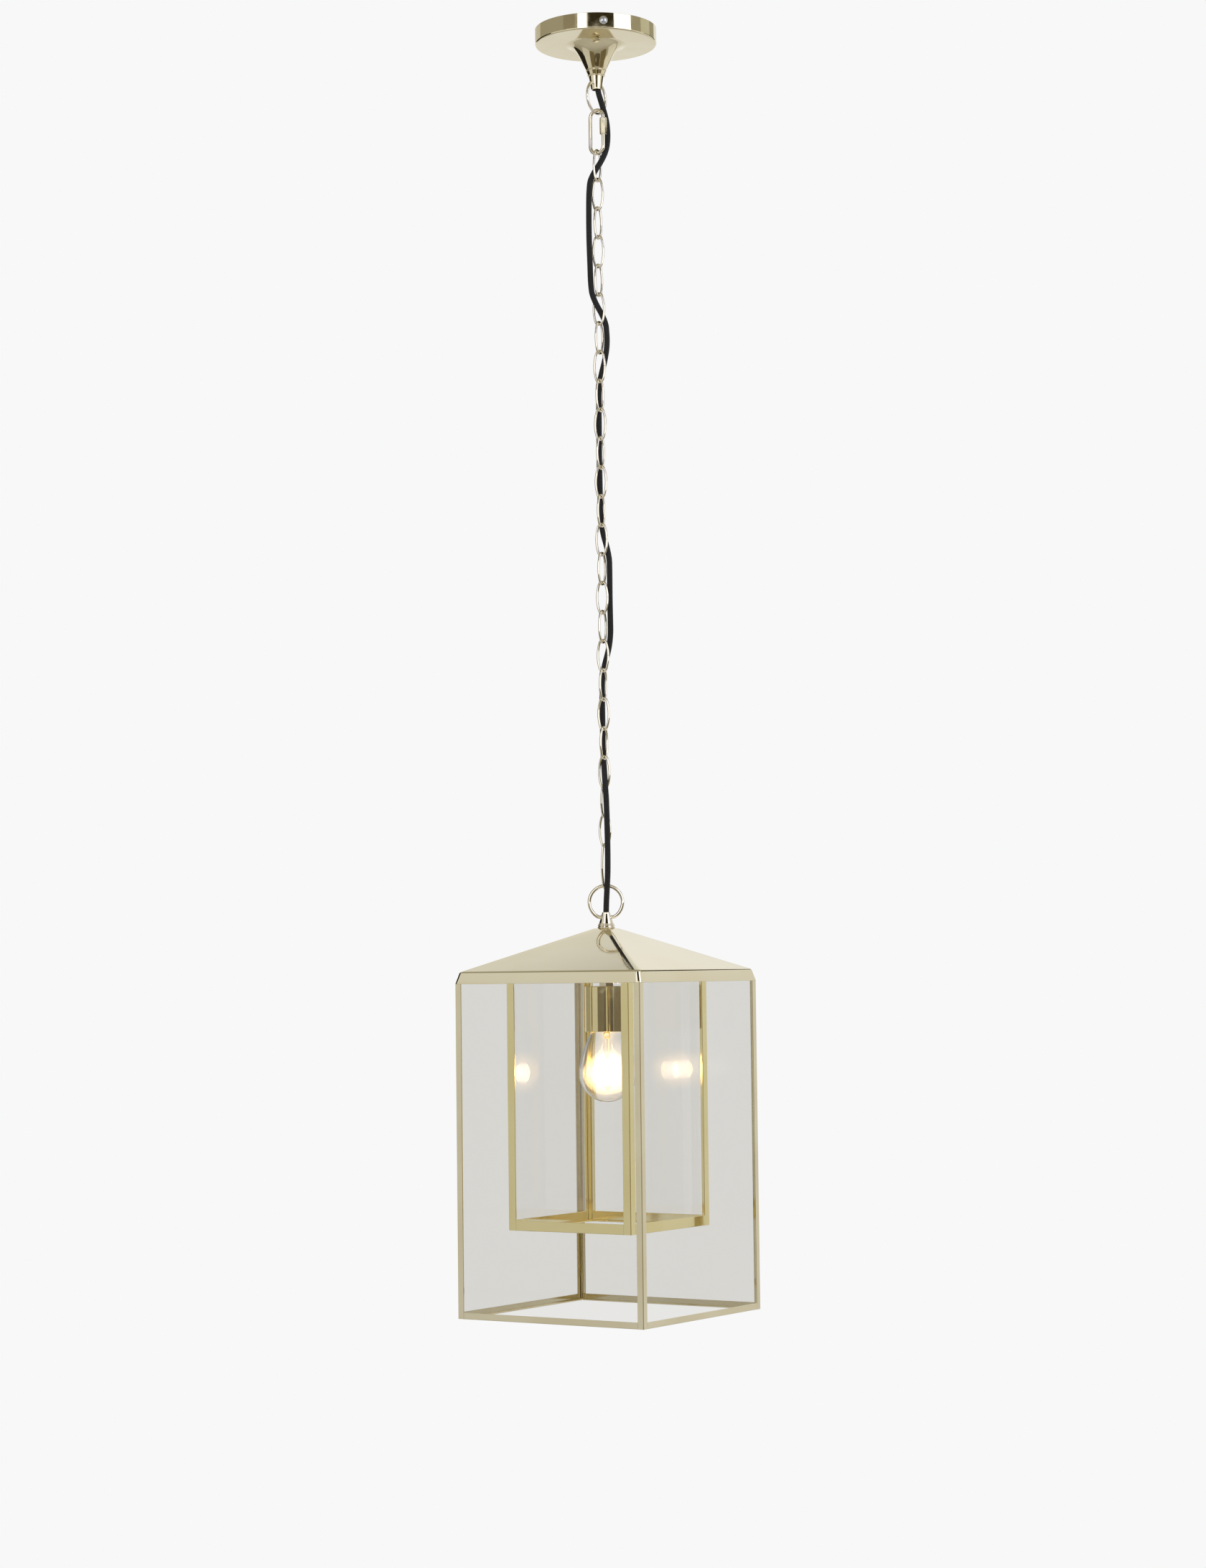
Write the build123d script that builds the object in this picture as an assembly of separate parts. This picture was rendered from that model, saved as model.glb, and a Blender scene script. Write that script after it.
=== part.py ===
"""Hanging lantern: a square double-glazed brass lantern on a chain, with a ceiling rose.

Millimetres, +Z up. The origin is the centre of the rose's ceiling face, and everything hangs below it.
The lantern's faces look along X and Y. Chain links lie alternately in the YZ and the XZ plane.
"""

import os
from math import asin, atan2, cos, pi, radians, sin, sqrt, tan

from build123d import *

# Clearances
GAP = 0.3
THREAD_GAP = 0.1
GLASS_GAP = 0.2

# Ceiling rose and its bracket
ROSE_R = 67.5
ROSE_H = 18.0
ROSE_WALL = 1.0
ROSE_EDGE_R = 1.6
BAR_YAW = -49.3
BAR_W = 20.0
BAR_T = 2.0
BAR_EAR_H = 13.0
BAR_EAR_W = 15.0
BAR_HOLE_PCD = 90.0
BAR_HOLE_R = 2.3
SIDE_SCREW_Z = -8.6
SIDE_SCREW_R = 2.0
SIDE_SCREW_HEAD_R = 4.6
SIDE_SCREW_HEAD_H = 2.6
SIDE_SCREW_LENGTH = 8.0
SIDE_SCREW_SLOT = 1.0
BLOCK_L = 24.0
BLOCK_W = 17.0
BLOCK_H = 10.0
BLOCK_OFFSET = 32.0
BLOCK_SCREW_R = 1.8
BLOCK_EDGE_R = 1.0
LEAD_D = 2.2
LEAD_SPREAD = 1.5
LEAD_BEND_R = 3.0

# Trumpet under the rose
TRUMPET_R = 34.0
TRUMPET_H = 29.0
TRUMPET_NECK_R = 10.6
TRUMPET_PLATE_T = 3.0
TRUMPET_WALL = 1.8
TRUMPET_FLAT = 13.0
TRUMPET_DIP = 1.0
TRUMPET_LEAN = 6.0
TRUMPET_STEEP = 10.0
TRUMPET_HOLLOW_H = 13.0
TRUMPET_HOLLOW_R = 14.6
TRUMPET_HOLLOW_TOP_R = 19.6
BEAD_R = 0.75
BEAD_STEP = 5.4
LOW_BEAD_R = 9.0
NOZZLE_TOP_R = 8.2
NOZZLE_H = 15.6
NOZZLE_END_R = 5.9
NOZZLE_WALL = 1.0
STEM_R = 6.0
STEM_NUT_AF = 18.0
STEM_NUT_H = 4.0
STEM_ABOVE_NUT = 1.0
GRIP_R = 6.4
GRIP_H = 9.0
GRIP_CHAMFER = 0.8

# Cord
CORD_D = 6.3

# Rings with two pins turned in at their fitting
RING_R = 18.2
RING_SHOULDER_R = 4.5
RING_CLEAR = 1.2
TOP_RING_WIRE = 3.0
LOW_RING_WIRE = 3.8
TOP_PIN_DROP = 8.6
RING_YAW = 33.34

# Quick link with its sleeve nut
QUICK_WIRE = 4.0
QUICK_INNER_L = 44.5
QUICK_INNER_W = 13.1
QUICK_OPENING = 4.0
SLEEVE_AF = 7.2
SLEEVE_L = 19.0
SLEEVE_BELOW_BEND = 1.0

# Chain
LINK_WIRE = 2.6
LINK_INNER_L = 32.4
LINK_INNER_W = 11.0
LINK_END_R = 4.6
LINK_SEAM = 0.3
LINKS_PER_STRETCH = 5
STRETCHES = 5
END_LINK_INNER_L = 46.6

# Finial and the threaded tube
FINIAL_FLANGE_R = 9.9
FINIAL_FLANGE_H = 1.8
FINIAL_COLLAR_R = 8.7
FINIAL_BEAD_R = 0.7
FINIAL_COLLAR_H = 3.0
FINIAL_CONE_R = 8.0
FINIAL_CONE_H = 12.9
FINIAL_TOP_R = 4.4
FINIAL_PIN_H = 12.4
TUBE_R = 5.0
TUBE_BORE_R = 3.5
TUBE_IN_FINIAL = 6.0
NUT_H = 4.0
ROOF_NUT_AF = 13.0
TUBE_NUT_AF = 15.0

# Roof
SHEET = 1.2
ROOF_RISE = 59.1
ROOF_TOP_HALF = 10.5
RIM_H = 13.0
RIM_INSET = 3.6
RIM_CORNER_R = 6.0
RIM_SHOULDER_R = 3.0

# Outer frame
OUTER_HALF = 118.8
OUTER_H = 360.0
OUTER_LEG = 7.5
OUTER_RAIL_H = 7.0
PLATE_T = 1.5
PLATE_INSET = 0.6
PLATE_CORNER_R = 6.5

# Inner frame
INNER_HALF = 78.8
INNER_H = 266.7
INNER_LEG = 9.5
INNER_RAIL_H = 11.0
PANE_T = 2.0
PANE_LAP = 3.6

# Lampholder and bulb
CUP_R = 23.8
CUP_WALL = 1.0
CUP_H = 49.6
CUP_EDGE_R = 2.0
INSERT_TOP = 9.0
INSERT_H = 31.0
SHELL_R = 14.1
SHELL_WALL = 0.5
SHELL_RECESS = 1.0
TONGUE_T = 0.6
TONGUE_W = 6.0
CAP_R = 13.1
CAP_H = 24.0
CAP_WALL = 0.6
CAP_PITCH = 3.63
CAP_THREAD_DEPTH = 0.6
CAP_CONE_H = 2.6
CAP_TIP_R = 4.5
CAP_TIP_H = 1.2
CAP_TIP_SEAT = 0.8
CAP_RIM_R = 7.5
BULB_R = 31.0
BULB_DROP = 130.4
BULB_GLASS = 0.8
BULB_NECK_R = 12.3
BULB_SHOULDER_R = 17.2
BULB_SHOULDER_DROP = 53.0
BULB_SEAL_H = 5.0
BULB_SWELL = 17.0
BULB_WAIST = (3.6, 6.0)
BULB_THROAT = (3.0, 5.0)
BULB_NECK_SHOWN = 1.0
BULB_NECK_EASE = 4.0
STEM_GLASS_R = 4.0
STEM_GLASS_L = 22.0
STEM_FLANGE_T = 2.0
CAPSULE_R = 6.0
CAPSULE_L = 34.0
CAPSULE_TIP_R = 2.0
CAPSULE_TIP_L = 1.5
CAPSULE_GLASS = 1.0
PINCH_LAP = 3.0
PINCH_H = 4.0
SUPPORT_WIRE = 0.9
SUPPORT_SPREAD = 4.0
FILAMENT_WIRE = 0.5
FILAMENT_COIL_R = 1.3
FILAMENT_TURNS = 9
FILAMENT_PITCH = 1.6

# Heights that follow from the sizes above
rose_floor_z = -ROSE_H
neck_z = rose_floor_z - TRUMPET_H
nozzle_top_z = neck_z - BEAD_STEP
nozzle_end_z = nozzle_top_z - NOZZLE_H
nozzle_bore_r = NOZZLE_END_R - NOZZLE_WALL
top_pin_z = nozzle_top_z - TOP_PIN_DROP
stem_top_z = rose_floor_z + ROSE_WALL + STEM_NUT_H + STEM_ABOVE_NUT
nozzle_r_at_pin = NOZZLE_TOP_R - (NOZZLE_TOP_R - NOZZLE_END_R) * TOP_PIN_DROP / NOZZLE_H
finial_r_at_pin = FINIAL_CONE_R - (FINIAL_CONE_R - FINIAL_TOP_R) * (
    (FINIAL_PIN_H - FINIAL_FLANGE_H - FINIAL_COLLAR_H) / FINIAL_CONE_H
)


def ring_reach(pin_out):
    """Height from a ring's pins to the middle of its far wire, for pins ending at pin_out from the axis."""
    a = asin(pin_out / (RING_R - RING_SHOULDER_R))
    return RING_R + RING_R * cos(a) + RING_SHOULDER_R * (1 - cos(a))


top_pin_out = nozzle_r_at_pin + RING_CLEAR
low_pin_out = finial_r_at_pin + RING_CLEAR
top_ring_low_z = top_pin_z - ring_reach(top_pin_out)
quick_top_z = top_ring_low_z + (TOP_RING_WIRE + QUICK_WIRE) / 2 + GAP
quick_low_z = quick_top_z - QUICK_INNER_L - QUICK_WIRE
chain_top_z = quick_low_z + (QUICK_WIRE + GAP) / 2
pitch = LINK_INNER_L - GAP
link_count = LINKS_PER_STRETCH * STRETCHES - 1
end_link_top_z = chain_top_z - pitch * link_count
end_link_low_z = end_link_top_z - (END_LINK_INNER_L - GAP)
low_ring_top_z = end_link_low_z + (LOW_RING_WIRE + GAP) / 2
low_pin_z = low_ring_top_z - ring_reach(low_pin_out)
roof_top_z = low_pin_z - FINIAL_PIN_H
rim_z = roof_top_z - ROOF_RISE
plate_top_z = rim_z + PLATE_T
cup_top_z = rim_z - NUT_H
tube_low_z = cup_top_z - SHEET - NUT_H - 2 * GAP
tube_top_z = roof_top_z + TUBE_IN_FINIAL
cord_end_z = tube_low_z + 2 * GAP
cap_low_z = cup_top_z - INSERT_TOP - INSERT_H
cap_top_z = cap_low_z + CAP_H
contact_low_z = cap_top_z + CAP_TIP_SEAT
contact_top_z = contact_low_z + CAP_TIP_H

rim_half = OUTER_HALF + GAP + SHEET
rim_crease_half = rim_half - RIM_INSET

# Cord route, stretch by stretch, from the rose to the lampholder. Each stretch ends where the next begins
CORD_ROUTE = {
    "cord_1": [(0, 0, stem_top_z), (0, 0, -39), (0.5, 0.4, -66), (2.75, 2.35, -76)],
    "cord_2": [(2.75, 2.35, -76), (6.35, 5.47, -92), (8.1, 8.5, -105), (8.3, 8.95, -113.5)],
    "cord_3": [
        (8.3, 8.95, -113.5),
        (8.57, 9.56, -125),
        (6.2, 5.2, -143),
        (-5.8, -4.8, -166.6),
        (-6.6, -6.9, -180),
        (-6.8, -7.6, -197),
        (-6.8, -7.8, -211),
    ],
    "cord_4": [
        (-6.8, -7.8, -211),
        (-6.8, -8.1, -232),
        (-6.2, -7.4, -265),
        (-6.0, -7.0, -286),
        (-4.6, -5.7, -301.5),
        (4.8, 5.9, -326.8),
        (5.7, 6.6, -341),
        (5.8, 6.65, -346),
    ],
    "cord_5": [
        (5.8, 6.65, -346),
        (6.08, 6.79, -360),
        (-5.2, 6.8, -394),
        (-5.9, 6.4, -411),
        (-5.6, 6.0, -442),
        (-5.9, 6.0, -476),
        (-5.6, 6.3, -510),
        (-5.6, 6.5, -532),
    ],
    "cord_6": [
        (-5.6, 6.5, -532),
        (-5.6, 6.7, -554),
        (5.3, 6.7, -587),
        (5.9, 6.3, -605),
        (5.7, 6.3, -634),
        (5.95, 6.4, -656),
        (6.05, 6.5, -667),
    ],
    "cord_7": [
        (6.05, 6.5, -667),
        (6.2, 6.65, -683.5),
        (-5.2, 6.8, -716),
        (-5.9, 6.3, -732),
        (-5.6, 6.0, -763),
        (-5.7, 6.2, -783),
        (-5.7, 6.3, -793),
    ],
    "cord_8": [
        (-5.7, 6.3, -793),
        (-5.7, 6.4, -803),
        (-4.2, 5.3, -815.4),
        (4.2, -5.3, -839.6),
        (6.1, -6.4, -855),
        (6.8, -6.1, -885),
        (7.0, -5.9, -917),
        (6.9, -6.2, -939),
        (4.41, -4.2, -954.5),
        (2.31, -2.2, -965.5),
    ],
    "cord_9": [
        (2.31, -2.2, -965.5),
        (0, 0, -977.6),
        (0.08, 0.05, -1000),
        (0, 0.1, -1035),
        (0.05, 0, cord_end_z),
    ],
}


def spin(face):
    """Turn a face drawn as (radius, height) round the Z axis."""
    return revolve(Plane.XZ * face, Axis.Z)


def turned(*points):
    """Solid of revolution of a closed outline of (radius, height) points."""
    return spin(make_face(Polyline(*points, close=True)))


def rod(radius, low_z, high_z, x=0.0, y=0.0):
    """Round bar along Z."""
    return Pos(x, y, low_z) * extrude(Circle(radius), high_z - low_z)


def hex_nut(across_flats, bore_r, low_z, height, x=0.0, y=0.0):
    """Hexagonal nut with a plain bore, flats towards +Y and -Y."""
    outline = RegularPolygon(across_flats / 2, 6, major_radius=False) - Circle(bore_r)
    return Pos(x, y, low_z) * extrude(outline, height)


def slab(x_range, y_range, z_range):
    """Box between the given limits."""
    size = [high - low for low, high in (x_range, y_range, z_range)]
    middle = [(high + low) / 2 for low, high in (x_range, y_range, z_range)]
    return Pos(*middle) * Box(*size)


def wire_along(path, diameter):
    """Round wire swept along a path."""
    return sweep(Plane(path @ 0, z_dir=path % 0) * Circle(diameter / 2), path=path)


def on_plane(yaw, middle_z):
    """Function that places a point (sideways, up) in the upright plane turned by yaw."""
    across = (cos(radians(yaw)), sin(radians(yaw)))
    return lambda s, z: (s * across[0], s * across[1], middle_z + z)


def oval_link(top_contact_z, inner_l, yaw):
    """Bent-wire oval link of four arcs, with its butt seam in the middle of one leg."""
    half_l = (inner_l + LINK_WIRE) / 2
    half_w = (LINK_INNER_W + LINK_WIRE) / 2
    end_up = half_l - LINK_END_R
    side_r = (half_w**2 - LINK_END_R**2 + end_up**2) / (2 * (half_w - LINK_END_R))
    side_in = side_r - half_w
    meet = atan2(end_up, side_in)
    seam = LINK_SEAM / 2 / side_r
    at = on_plane(yaw, top_contact_z + (GAP + LINK_WIRE) / 2 - half_l)

    def side(angle, sign):
        return at(sign * (side_r * cos(angle) - side_in), side_r * sin(angle))

    path = Wire(
        [
            ThreePointArc(side(seam, 1), side((seam + meet) / 2, 1), side(meet, 1)),
            ThreePointArc(side(meet, 1), at(0, half_l), side(meet, -1)),
            ThreePointArc(side(meet, -1), side(0, -1), side(-meet, -1)),
            ThreePointArc(side(-meet, -1), at(0, -half_l), side(-meet, 1)),
            ThreePointArc(side(-meet, 1), side(-(seam + meet) / 2, 1), side(-seam, 1)),
        ]
    )
    return wire_along(path, LINK_WIRE)


def pin_ring(pin_z, pin_in, pin_out, diameter, yaw, up):
    """Open ring whose two ends turn in as pins. up is 1 for a ring above its pins, -1 below."""
    a = asin(pin_out / (RING_R - RING_SHOULDER_R))
    drop = RING_SHOULDER_R * (1 - cos(a))
    centre = drop + RING_R * cos(a)
    half = RING_SHOULDER_R * (1 - cos(a / 2))
    place = on_plane(yaw, pin_z)

    def at(s, z):
        return place(s, up * z)

    def shoulder(sign):
        return [
            at(sign * pin_out, 0),
            at(sign * (pin_out + RING_SHOULDER_R * sin(a / 2)), half),
            at(sign * RING_R * sin(a), drop),
        ]

    right = shoulder(1)
    left = shoulder(-1)
    path = Wire(
        [
            Line(at(pin_in, 0), right[0]),
            ThreePointArc(*right),
            ThreePointArc(right[2], at(0, centre + RING_R), left[2]),
            ThreePointArc(*reversed(left)),
            Line(left[0], at(-pin_in, 0)),
        ]
    )
    return wire_along(path, diameter)


def cord_tube(name, points):
    """Round cord along straight runs joined by arcs as large as the runs allow."""
    points = [Vector(*p) for p in points]
    runs = [b - a for a, b in zip(points, points[1:])]
    radii = []
    for before, after in zip(runs, runs[1:]):
        turn = radians(before.get_angle(after))
        radii.append(0.45 * min(before.length, after.length) / tan(turn / 2))
    path = FilletPolyline(*points, radius=radii)
    solid = wire_along(path, CORD_D)
    share = solid.volume / (pi * CORD_D**2 / 4 * path.length)
    print(f"{name} length {path.length:.1f} least radius {min(radii):.1f} volume share {share:.4f}")
    return solid


def rose_parts():
    """Ceiling bracket, rose, side screws, terminal block and supply leads."""
    turn = Rot(0, 0, BAR_YAW)
    inner_r = ROSE_R - ROSE_WALL
    ear_face = sqrt((inner_r - GAP) ** 2 - (BAR_EAR_W / 2) ** 2)
    bar = slab((-ear_face, ear_face), (-BAR_W / 2, BAR_W / 2), (-BAR_T, 0))
    bar &= turned((0, -BAR_T), (inner_r - GAP, -BAR_T), (inner_r - GAP, 0), (0, 0))
    for side in (-1, 1):
        face = sorted((side * ear_face, side * (ear_face - BAR_T)))
        ear = slab(face, (-BAR_EAR_W / 2, BAR_EAR_W / 2), (-BAR_EAR_H, 0))
        bar += ear
        bar -= rod(BAR_HOLE_R, -BAR_T, 0, side * BAR_HOLE_PCD / 2)
    bore = Rot(0, 90, 0) * Cylinder(SIDE_SCREW_R + THREAD_GAP, 3 * ROSE_R)
    bar -= Pos(0, 0, SIDE_SCREW_Z) * bore

    shell = rod(ROSE_R, -ROSE_H, 0)
    shell = fillet(shell.edges().group_by(Axis.Z)[0], ROSE_EDGE_R)
    shell -= rod(inner_r, ROSE_WALL - ROSE_H, 0)
    shell -= rod(STEM_R + GAP, -ROSE_H, 0)
    shell -= turn * Pos(0, 0, SIDE_SCREW_Z) * bore

    shank = Pos(0, 0, -SIDE_SCREW_LENGTH / 2) * Cylinder(SIDE_SCREW_R, SIDE_SCREW_LENGTH)
    dome_r = (SIDE_SCREW_HEAD_R**2 + SIDE_SCREW_HEAD_H**2) / (2 * SIDE_SCREW_HEAD_H)
    head = Pos(0, 0, SIDE_SCREW_HEAD_H - dome_r) * Sphere(dome_r)
    head &= Pos(0, 0, dome_r) * Box(3 * dome_r, 3 * dome_r, 2 * dome_r)
    slot = Pos(0, 0, SIDE_SCREW_HEAD_H) * Box(3 * SIDE_SCREW_HEAD_R, SIDE_SCREW_SLOT, SIDE_SCREW_HEAD_H)
    screw = shank + head - slot
    seat = ROSE_R + GAP / 2
    screws = [turn * Pos(side * seat, 0, SIDE_SCREW_Z) * Rot(0, 90 * side, 0) * screw for side in (-1, 1)]

    block = Pos(BLOCK_OFFSET, 0, -BAR_T - BLOCK_H / 2) * Box(BLOCK_L, BLOCK_W, BLOCK_H)
    block = fillet(block.edges().filter_by(Axis.Z), BLOCK_EDGE_R)
    for x in (-BLOCK_L / 4, BLOCK_L / 4):
        for y in (-BLOCK_W / 4, BLOCK_W / 4):
            block -= rod(BLOCK_SCREW_R, -BAR_T - BLOCK_H, -BAR_T - BLOCK_H / 2, BLOCK_OFFSET + x, y)

    leads = []
    lead_z = -BAR_T - BLOCK_H / 2
    for side in (-1, 1):
        y = side * LEAD_SPREAD
        run = FilletPolyline(
            (0, y, stem_top_z + GAP),
            (0, y, lead_z),
            (BLOCK_OFFSET - BLOCK_L / 2 - GAP, y, lead_z),
            radius=LEAD_BEND_R,
        )
        leads.append(turn * wire_along(run, LEAD_D))
    return {
        "ceiling_bracket": turn * bar,
        "ceiling_rose": shell,
        "rose_screws": Compound(screws),
        "terminal_block": turn * block,
        "supply_leads": Compound(leads),
    }


def trumpet_parts():
    """Flared trumpet with its nozzle, the nut inside the rose and the cord grip."""
    flare = Bezier(
        (TRUMPET_R, rose_floor_z),
        (TRUMPET_R - TRUMPET_FLAT, rose_floor_z - TRUMPET_DIP),
        (TRUMPET_NECK_R + TRUMPET_LEAN, neck_z + TRUMPET_STEEP),
        (TRUMPET_NECK_R, neck_z),
    )
    rest = Polyline(
        (TRUMPET_NECK_R, neck_z),
        (LOW_BEAD_R, nozzle_top_z),
        (NOZZLE_TOP_R, nozzle_top_z),
        (NOZZLE_END_R, nozzle_end_z),
        (0, nozzle_end_z),
        (0, rose_floor_z),
        (TRUMPET_R, rose_floor_z),
    )
    body = spin(make_face(Wire([flare, *rest.edges()])))
    for z, r in ((neck_z, TRUMPET_NECK_R), (nozzle_top_z, LOW_BEAD_R)):
        body += Pos(0, 0, z) * Torus(r, BEAD_R)
    plate_z = rose_floor_z - TRUMPET_PLATE_T
    hollow = turned(
        (0, nozzle_end_z),
        (nozzle_bore_r, nozzle_end_z),
        (nozzle_bore_r, nozzle_top_z),
        (TRUMPET_NECK_R - TRUMPET_WALL, neck_z + TRUMPET_WALL),
        (TRUMPET_HOLLOW_R, neck_z + TRUMPET_HOLLOW_H),
        (TRUMPET_HOLLOW_TOP_R, plate_z),
        (0, plate_z),
    )
    body -= hollow
    body += rod(STEM_R, rose_floor_z, stem_top_z)
    body -= rod(TUBE_BORE_R, plate_z, stem_top_z)
    pin_hole = Rot(90, 0, 0) * Cylinder(TOP_RING_WIRE / 2 + GAP, 4 * NOZZLE_TOP_R)
    body -= Pos(0, 0, top_pin_z) * pin_hole

    nut_z = rose_floor_z + ROSE_WALL
    grip = rod(GRIP_R, plate_z - GRIP_H, plate_z) - rod(CORD_D / 2 + GAP, plate_z - GRIP_H, plate_z)
    grip = chamfer(grip.edges().group_by(Axis.Z)[0], GRIP_CHAMFER)
    return {
        "trumpet": body,
        "trumpet_nut": hex_nut(STEM_NUT_AF, STEM_R + THREAD_GAP, nut_z, STEM_NUT_H),
        "cord_grip": grip,
    }


def quick_link_parts():
    """Quick link, open in one leg, and the sleeve nut that closes it."""
    half_w = (QUICK_INNER_W + QUICK_WIRE) / 2
    half_l = (QUICK_INNER_L + QUICK_WIRE) / 2
    bend = half_l - half_w
    at = on_plane(0, (quick_top_z + quick_low_z) / 2)
    sleeve_top = bend - SLEEVE_BELOW_BEND
    opening_top = sleeve_top - QUICK_OPENING / 2
    path = Wire(
        [
            Line(at(half_w, opening_top), at(half_w, bend)),
            ThreePointArc(at(half_w, bend), at(0, half_l), at(-half_w, bend)),
            Line(at(-half_w, bend), at(-half_w, -bend)),
            ThreePointArc(at(-half_w, -bend), at(0, -half_l), at(half_w, -bend)),
            Line(at(half_w, -bend), at(half_w, opening_top - QUICK_OPENING)),
        ]
    )
    sleeve_z = at(0, sleeve_top - SLEEVE_L)[2]
    sleeve = hex_nut(SLEEVE_AF, QUICK_WIRE / 2 + GAP, sleeve_z, SLEEVE_L, half_w)
    return {"quick_link": wire_along(path, QUICK_WIRE), "quick_link_sleeve": sleeve}


def chain_parts():
    """Stretches of oval links, each turned a quarter turn from the last, and the long end link."""
    made = {}
    for stretch in range(STRETCHES):
        first = stretch * LINKS_PER_STRETCH
        last = min(first + LINKS_PER_STRETCH, link_count)
        links = [
            oval_link(chain_top_z - pitch * n, LINK_INNER_L, 0 if n % 2 else 90) for n in range(first, last)
        ]
        made[f"chain_{stretch + 1}"] = Compound(links)
    made["end_link"] = oval_link(end_link_top_z, END_LINK_INNER_L, 0 if link_count % 2 else 90)
    return made


def ring_parts():
    """Upper ring in the nozzle's side holes and lower ring in the finial's."""
    return {
        "top_ring": pin_ring(top_pin_z, nozzle_bore_r + GAP, top_pin_out, TOP_RING_WIRE, 90, -1),
        "hanging_ring": pin_ring(low_pin_z, TUBE_BORE_R + GAP, low_pin_out, LOW_RING_WIRE, RING_YAW, 1),
    }


def finial_parts():
    """Finial, threaded tube and the nuts on it."""
    collar_z = roof_top_z + FINIAL_FLANGE_H
    cone_z = collar_z + FINIAL_COLLAR_H
    finial = turned(
        (0, roof_top_z),
        (FINIAL_FLANGE_R, roof_top_z),
        (FINIAL_FLANGE_R, collar_z),
        (FINIAL_COLLAR_R, collar_z),
        (FINIAL_COLLAR_R, cone_z),
        (FINIAL_CONE_R, cone_z),
        (FINIAL_TOP_R, cone_z + FINIAL_CONE_H),
        (0, cone_z + FINIAL_CONE_H),
    )
    finial += Pos(0, 0, collar_z + FINIAL_COLLAR_H / 2) * Torus(FINIAL_COLLAR_R, FINIAL_BEAD_R)
    finial -= rod(TUBE_BORE_R, roof_top_z, cone_z + FINIAL_CONE_H)
    finial -= rod(TUBE_R + THREAD_GAP, roof_top_z, tube_top_z)
    pin_hole = Rot(0, 90, 0) * Cylinder(LOW_RING_WIRE / 2 + GAP, 4 * FINIAL_CONE_R)
    finial -= Pos(0, 0, low_pin_z) * Rot(0, 0, RING_YAW) * pin_hole
    tube = rod(TUBE_R, tube_low_z, tube_top_z) - rod(TUBE_BORE_R, tube_low_z, tube_top_z)
    bore = TUBE_R + THREAD_GAP
    roof_nut_z = roof_top_z - SHEET - NUT_H
    nut_seats = (plate_top_z, rim_z - NUT_H, cup_top_z - SHEET - NUT_H)
    return {
        "finial": finial,
        "threaded_tube": tube,
        "roof_nut": hex_nut(ROOF_NUT_AF, bore, roof_nut_z, NUT_H),
        "tube_nuts": Compound([hex_nut(TUBE_NUT_AF, bore, z, NUT_H) for z in nut_seats]),
    }


def roof_shape(inset, drop):
    """Band that leans in and low pyramid, drawn in by inset with its slopes lowered by drop."""
    levels = (
        (rim_z, rim_half - inset, RIM_CORNER_R - inset),
        (rim_z + RIM_H - drop / 2, rim_crease_half - inset, RIM_CORNER_R - inset),
        (roof_top_z - drop, ROOF_TOP_HALF - inset, RIM_SHOULDER_R - inset),
    )
    squares = [Pos(0, 0, z) * RectangleRounded(2 * half, 2 * half, r) for z, half, r in levels]
    return loft(squares, ruled=True)


def roof_parts():
    """Sheet roof and the plate that closes the lantern under it."""
    roof = roof_shape(0, 0) - roof_shape(SHEET, SHEET)
    roof -= rod(TUBE_R + THREAD_GAP, rim_z, roof_top_z)
    plate_side = 2 * (OUTER_HALF - PLATE_INSET)
    plate = extrude(RectangleRounded(plate_side, plate_side, PLATE_CORNER_R), PLATE_T)
    plate = Pos(0, 0, rim_z) * plate - rod(TUBE_R + THREAD_GAP, rim_z, plate_top_z)
    return {"roof": roof, "ceiling_plate": plate}


def angle_post(half, leg, height):
    """Upright of sheet angle in the +X +Y corner of a frame, below the plate."""
    outline = slab((half - leg, half), (half - leg, half), (rim_z - height, rim_z))
    inside = slab((0, half - SHEET), (0, half - SHEET), (rim_z - height, rim_z))
    return outline - inside


def angle_rail(half, leg, height, rail_h):
    """Bottom rail of sheet angle on the +Y side, between two uprights, with its ledge turned in."""
    low = rim_z - height
    reach = half - leg
    wall = slab((-reach, reach), (half - SHEET, half), (low, low + rail_h))
    ledge = slab((-reach, reach), (half - rail_h, half - SHEET), (low, low + SHEET))
    return wall + ledge


def pane(half, leg, height):
    """Glass pane on the +Y side, behind the uprights, standing on the rail's ledge."""
    face = half - SHEET - GLASS_GAP
    reach = half - leg + PANE_LAP
    z_range = (rim_z - height + SHEET + GLASS_GAP, rim_z - GLASS_GAP)
    return slab((-reach, reach), (face - PANE_T, face), z_range)


def frame_parts():
    """Uprights, bottom rails and panes of the outer and the inner lantern."""
    made = {}
    sides = {"back": 0, "left": 90, "front": 180, "right": 270}
    corners = {"back_right": 0, "back_left": 90, "front_left": 180, "front_right": 270}
    frames = {
        "outer": (OUTER_HALF, OUTER_LEG, OUTER_H, OUTER_RAIL_H),
        "inner": (INNER_HALF, INNER_LEG, INNER_H, INNER_RAIL_H),
    }
    for frame, (half, leg, height, rail_h) in frames.items():
        for corner, yaw in corners.items():
            made[f"{frame}_post_{corner}"] = Rot(0, 0, yaw) * angle_post(half, leg, height)
        rails = [Rot(0, 0, yaw) * angle_rail(half, leg, height, rail_h) for yaw in sides.values()]
        made[f"{frame}_bottom_rails"] = Compound(rails)
        for side, yaw in sides.items():
            made[f"{frame}_pane_{side}"] = Rot(0, 0, yaw) * pane(half, leg, height)
    return made


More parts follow.
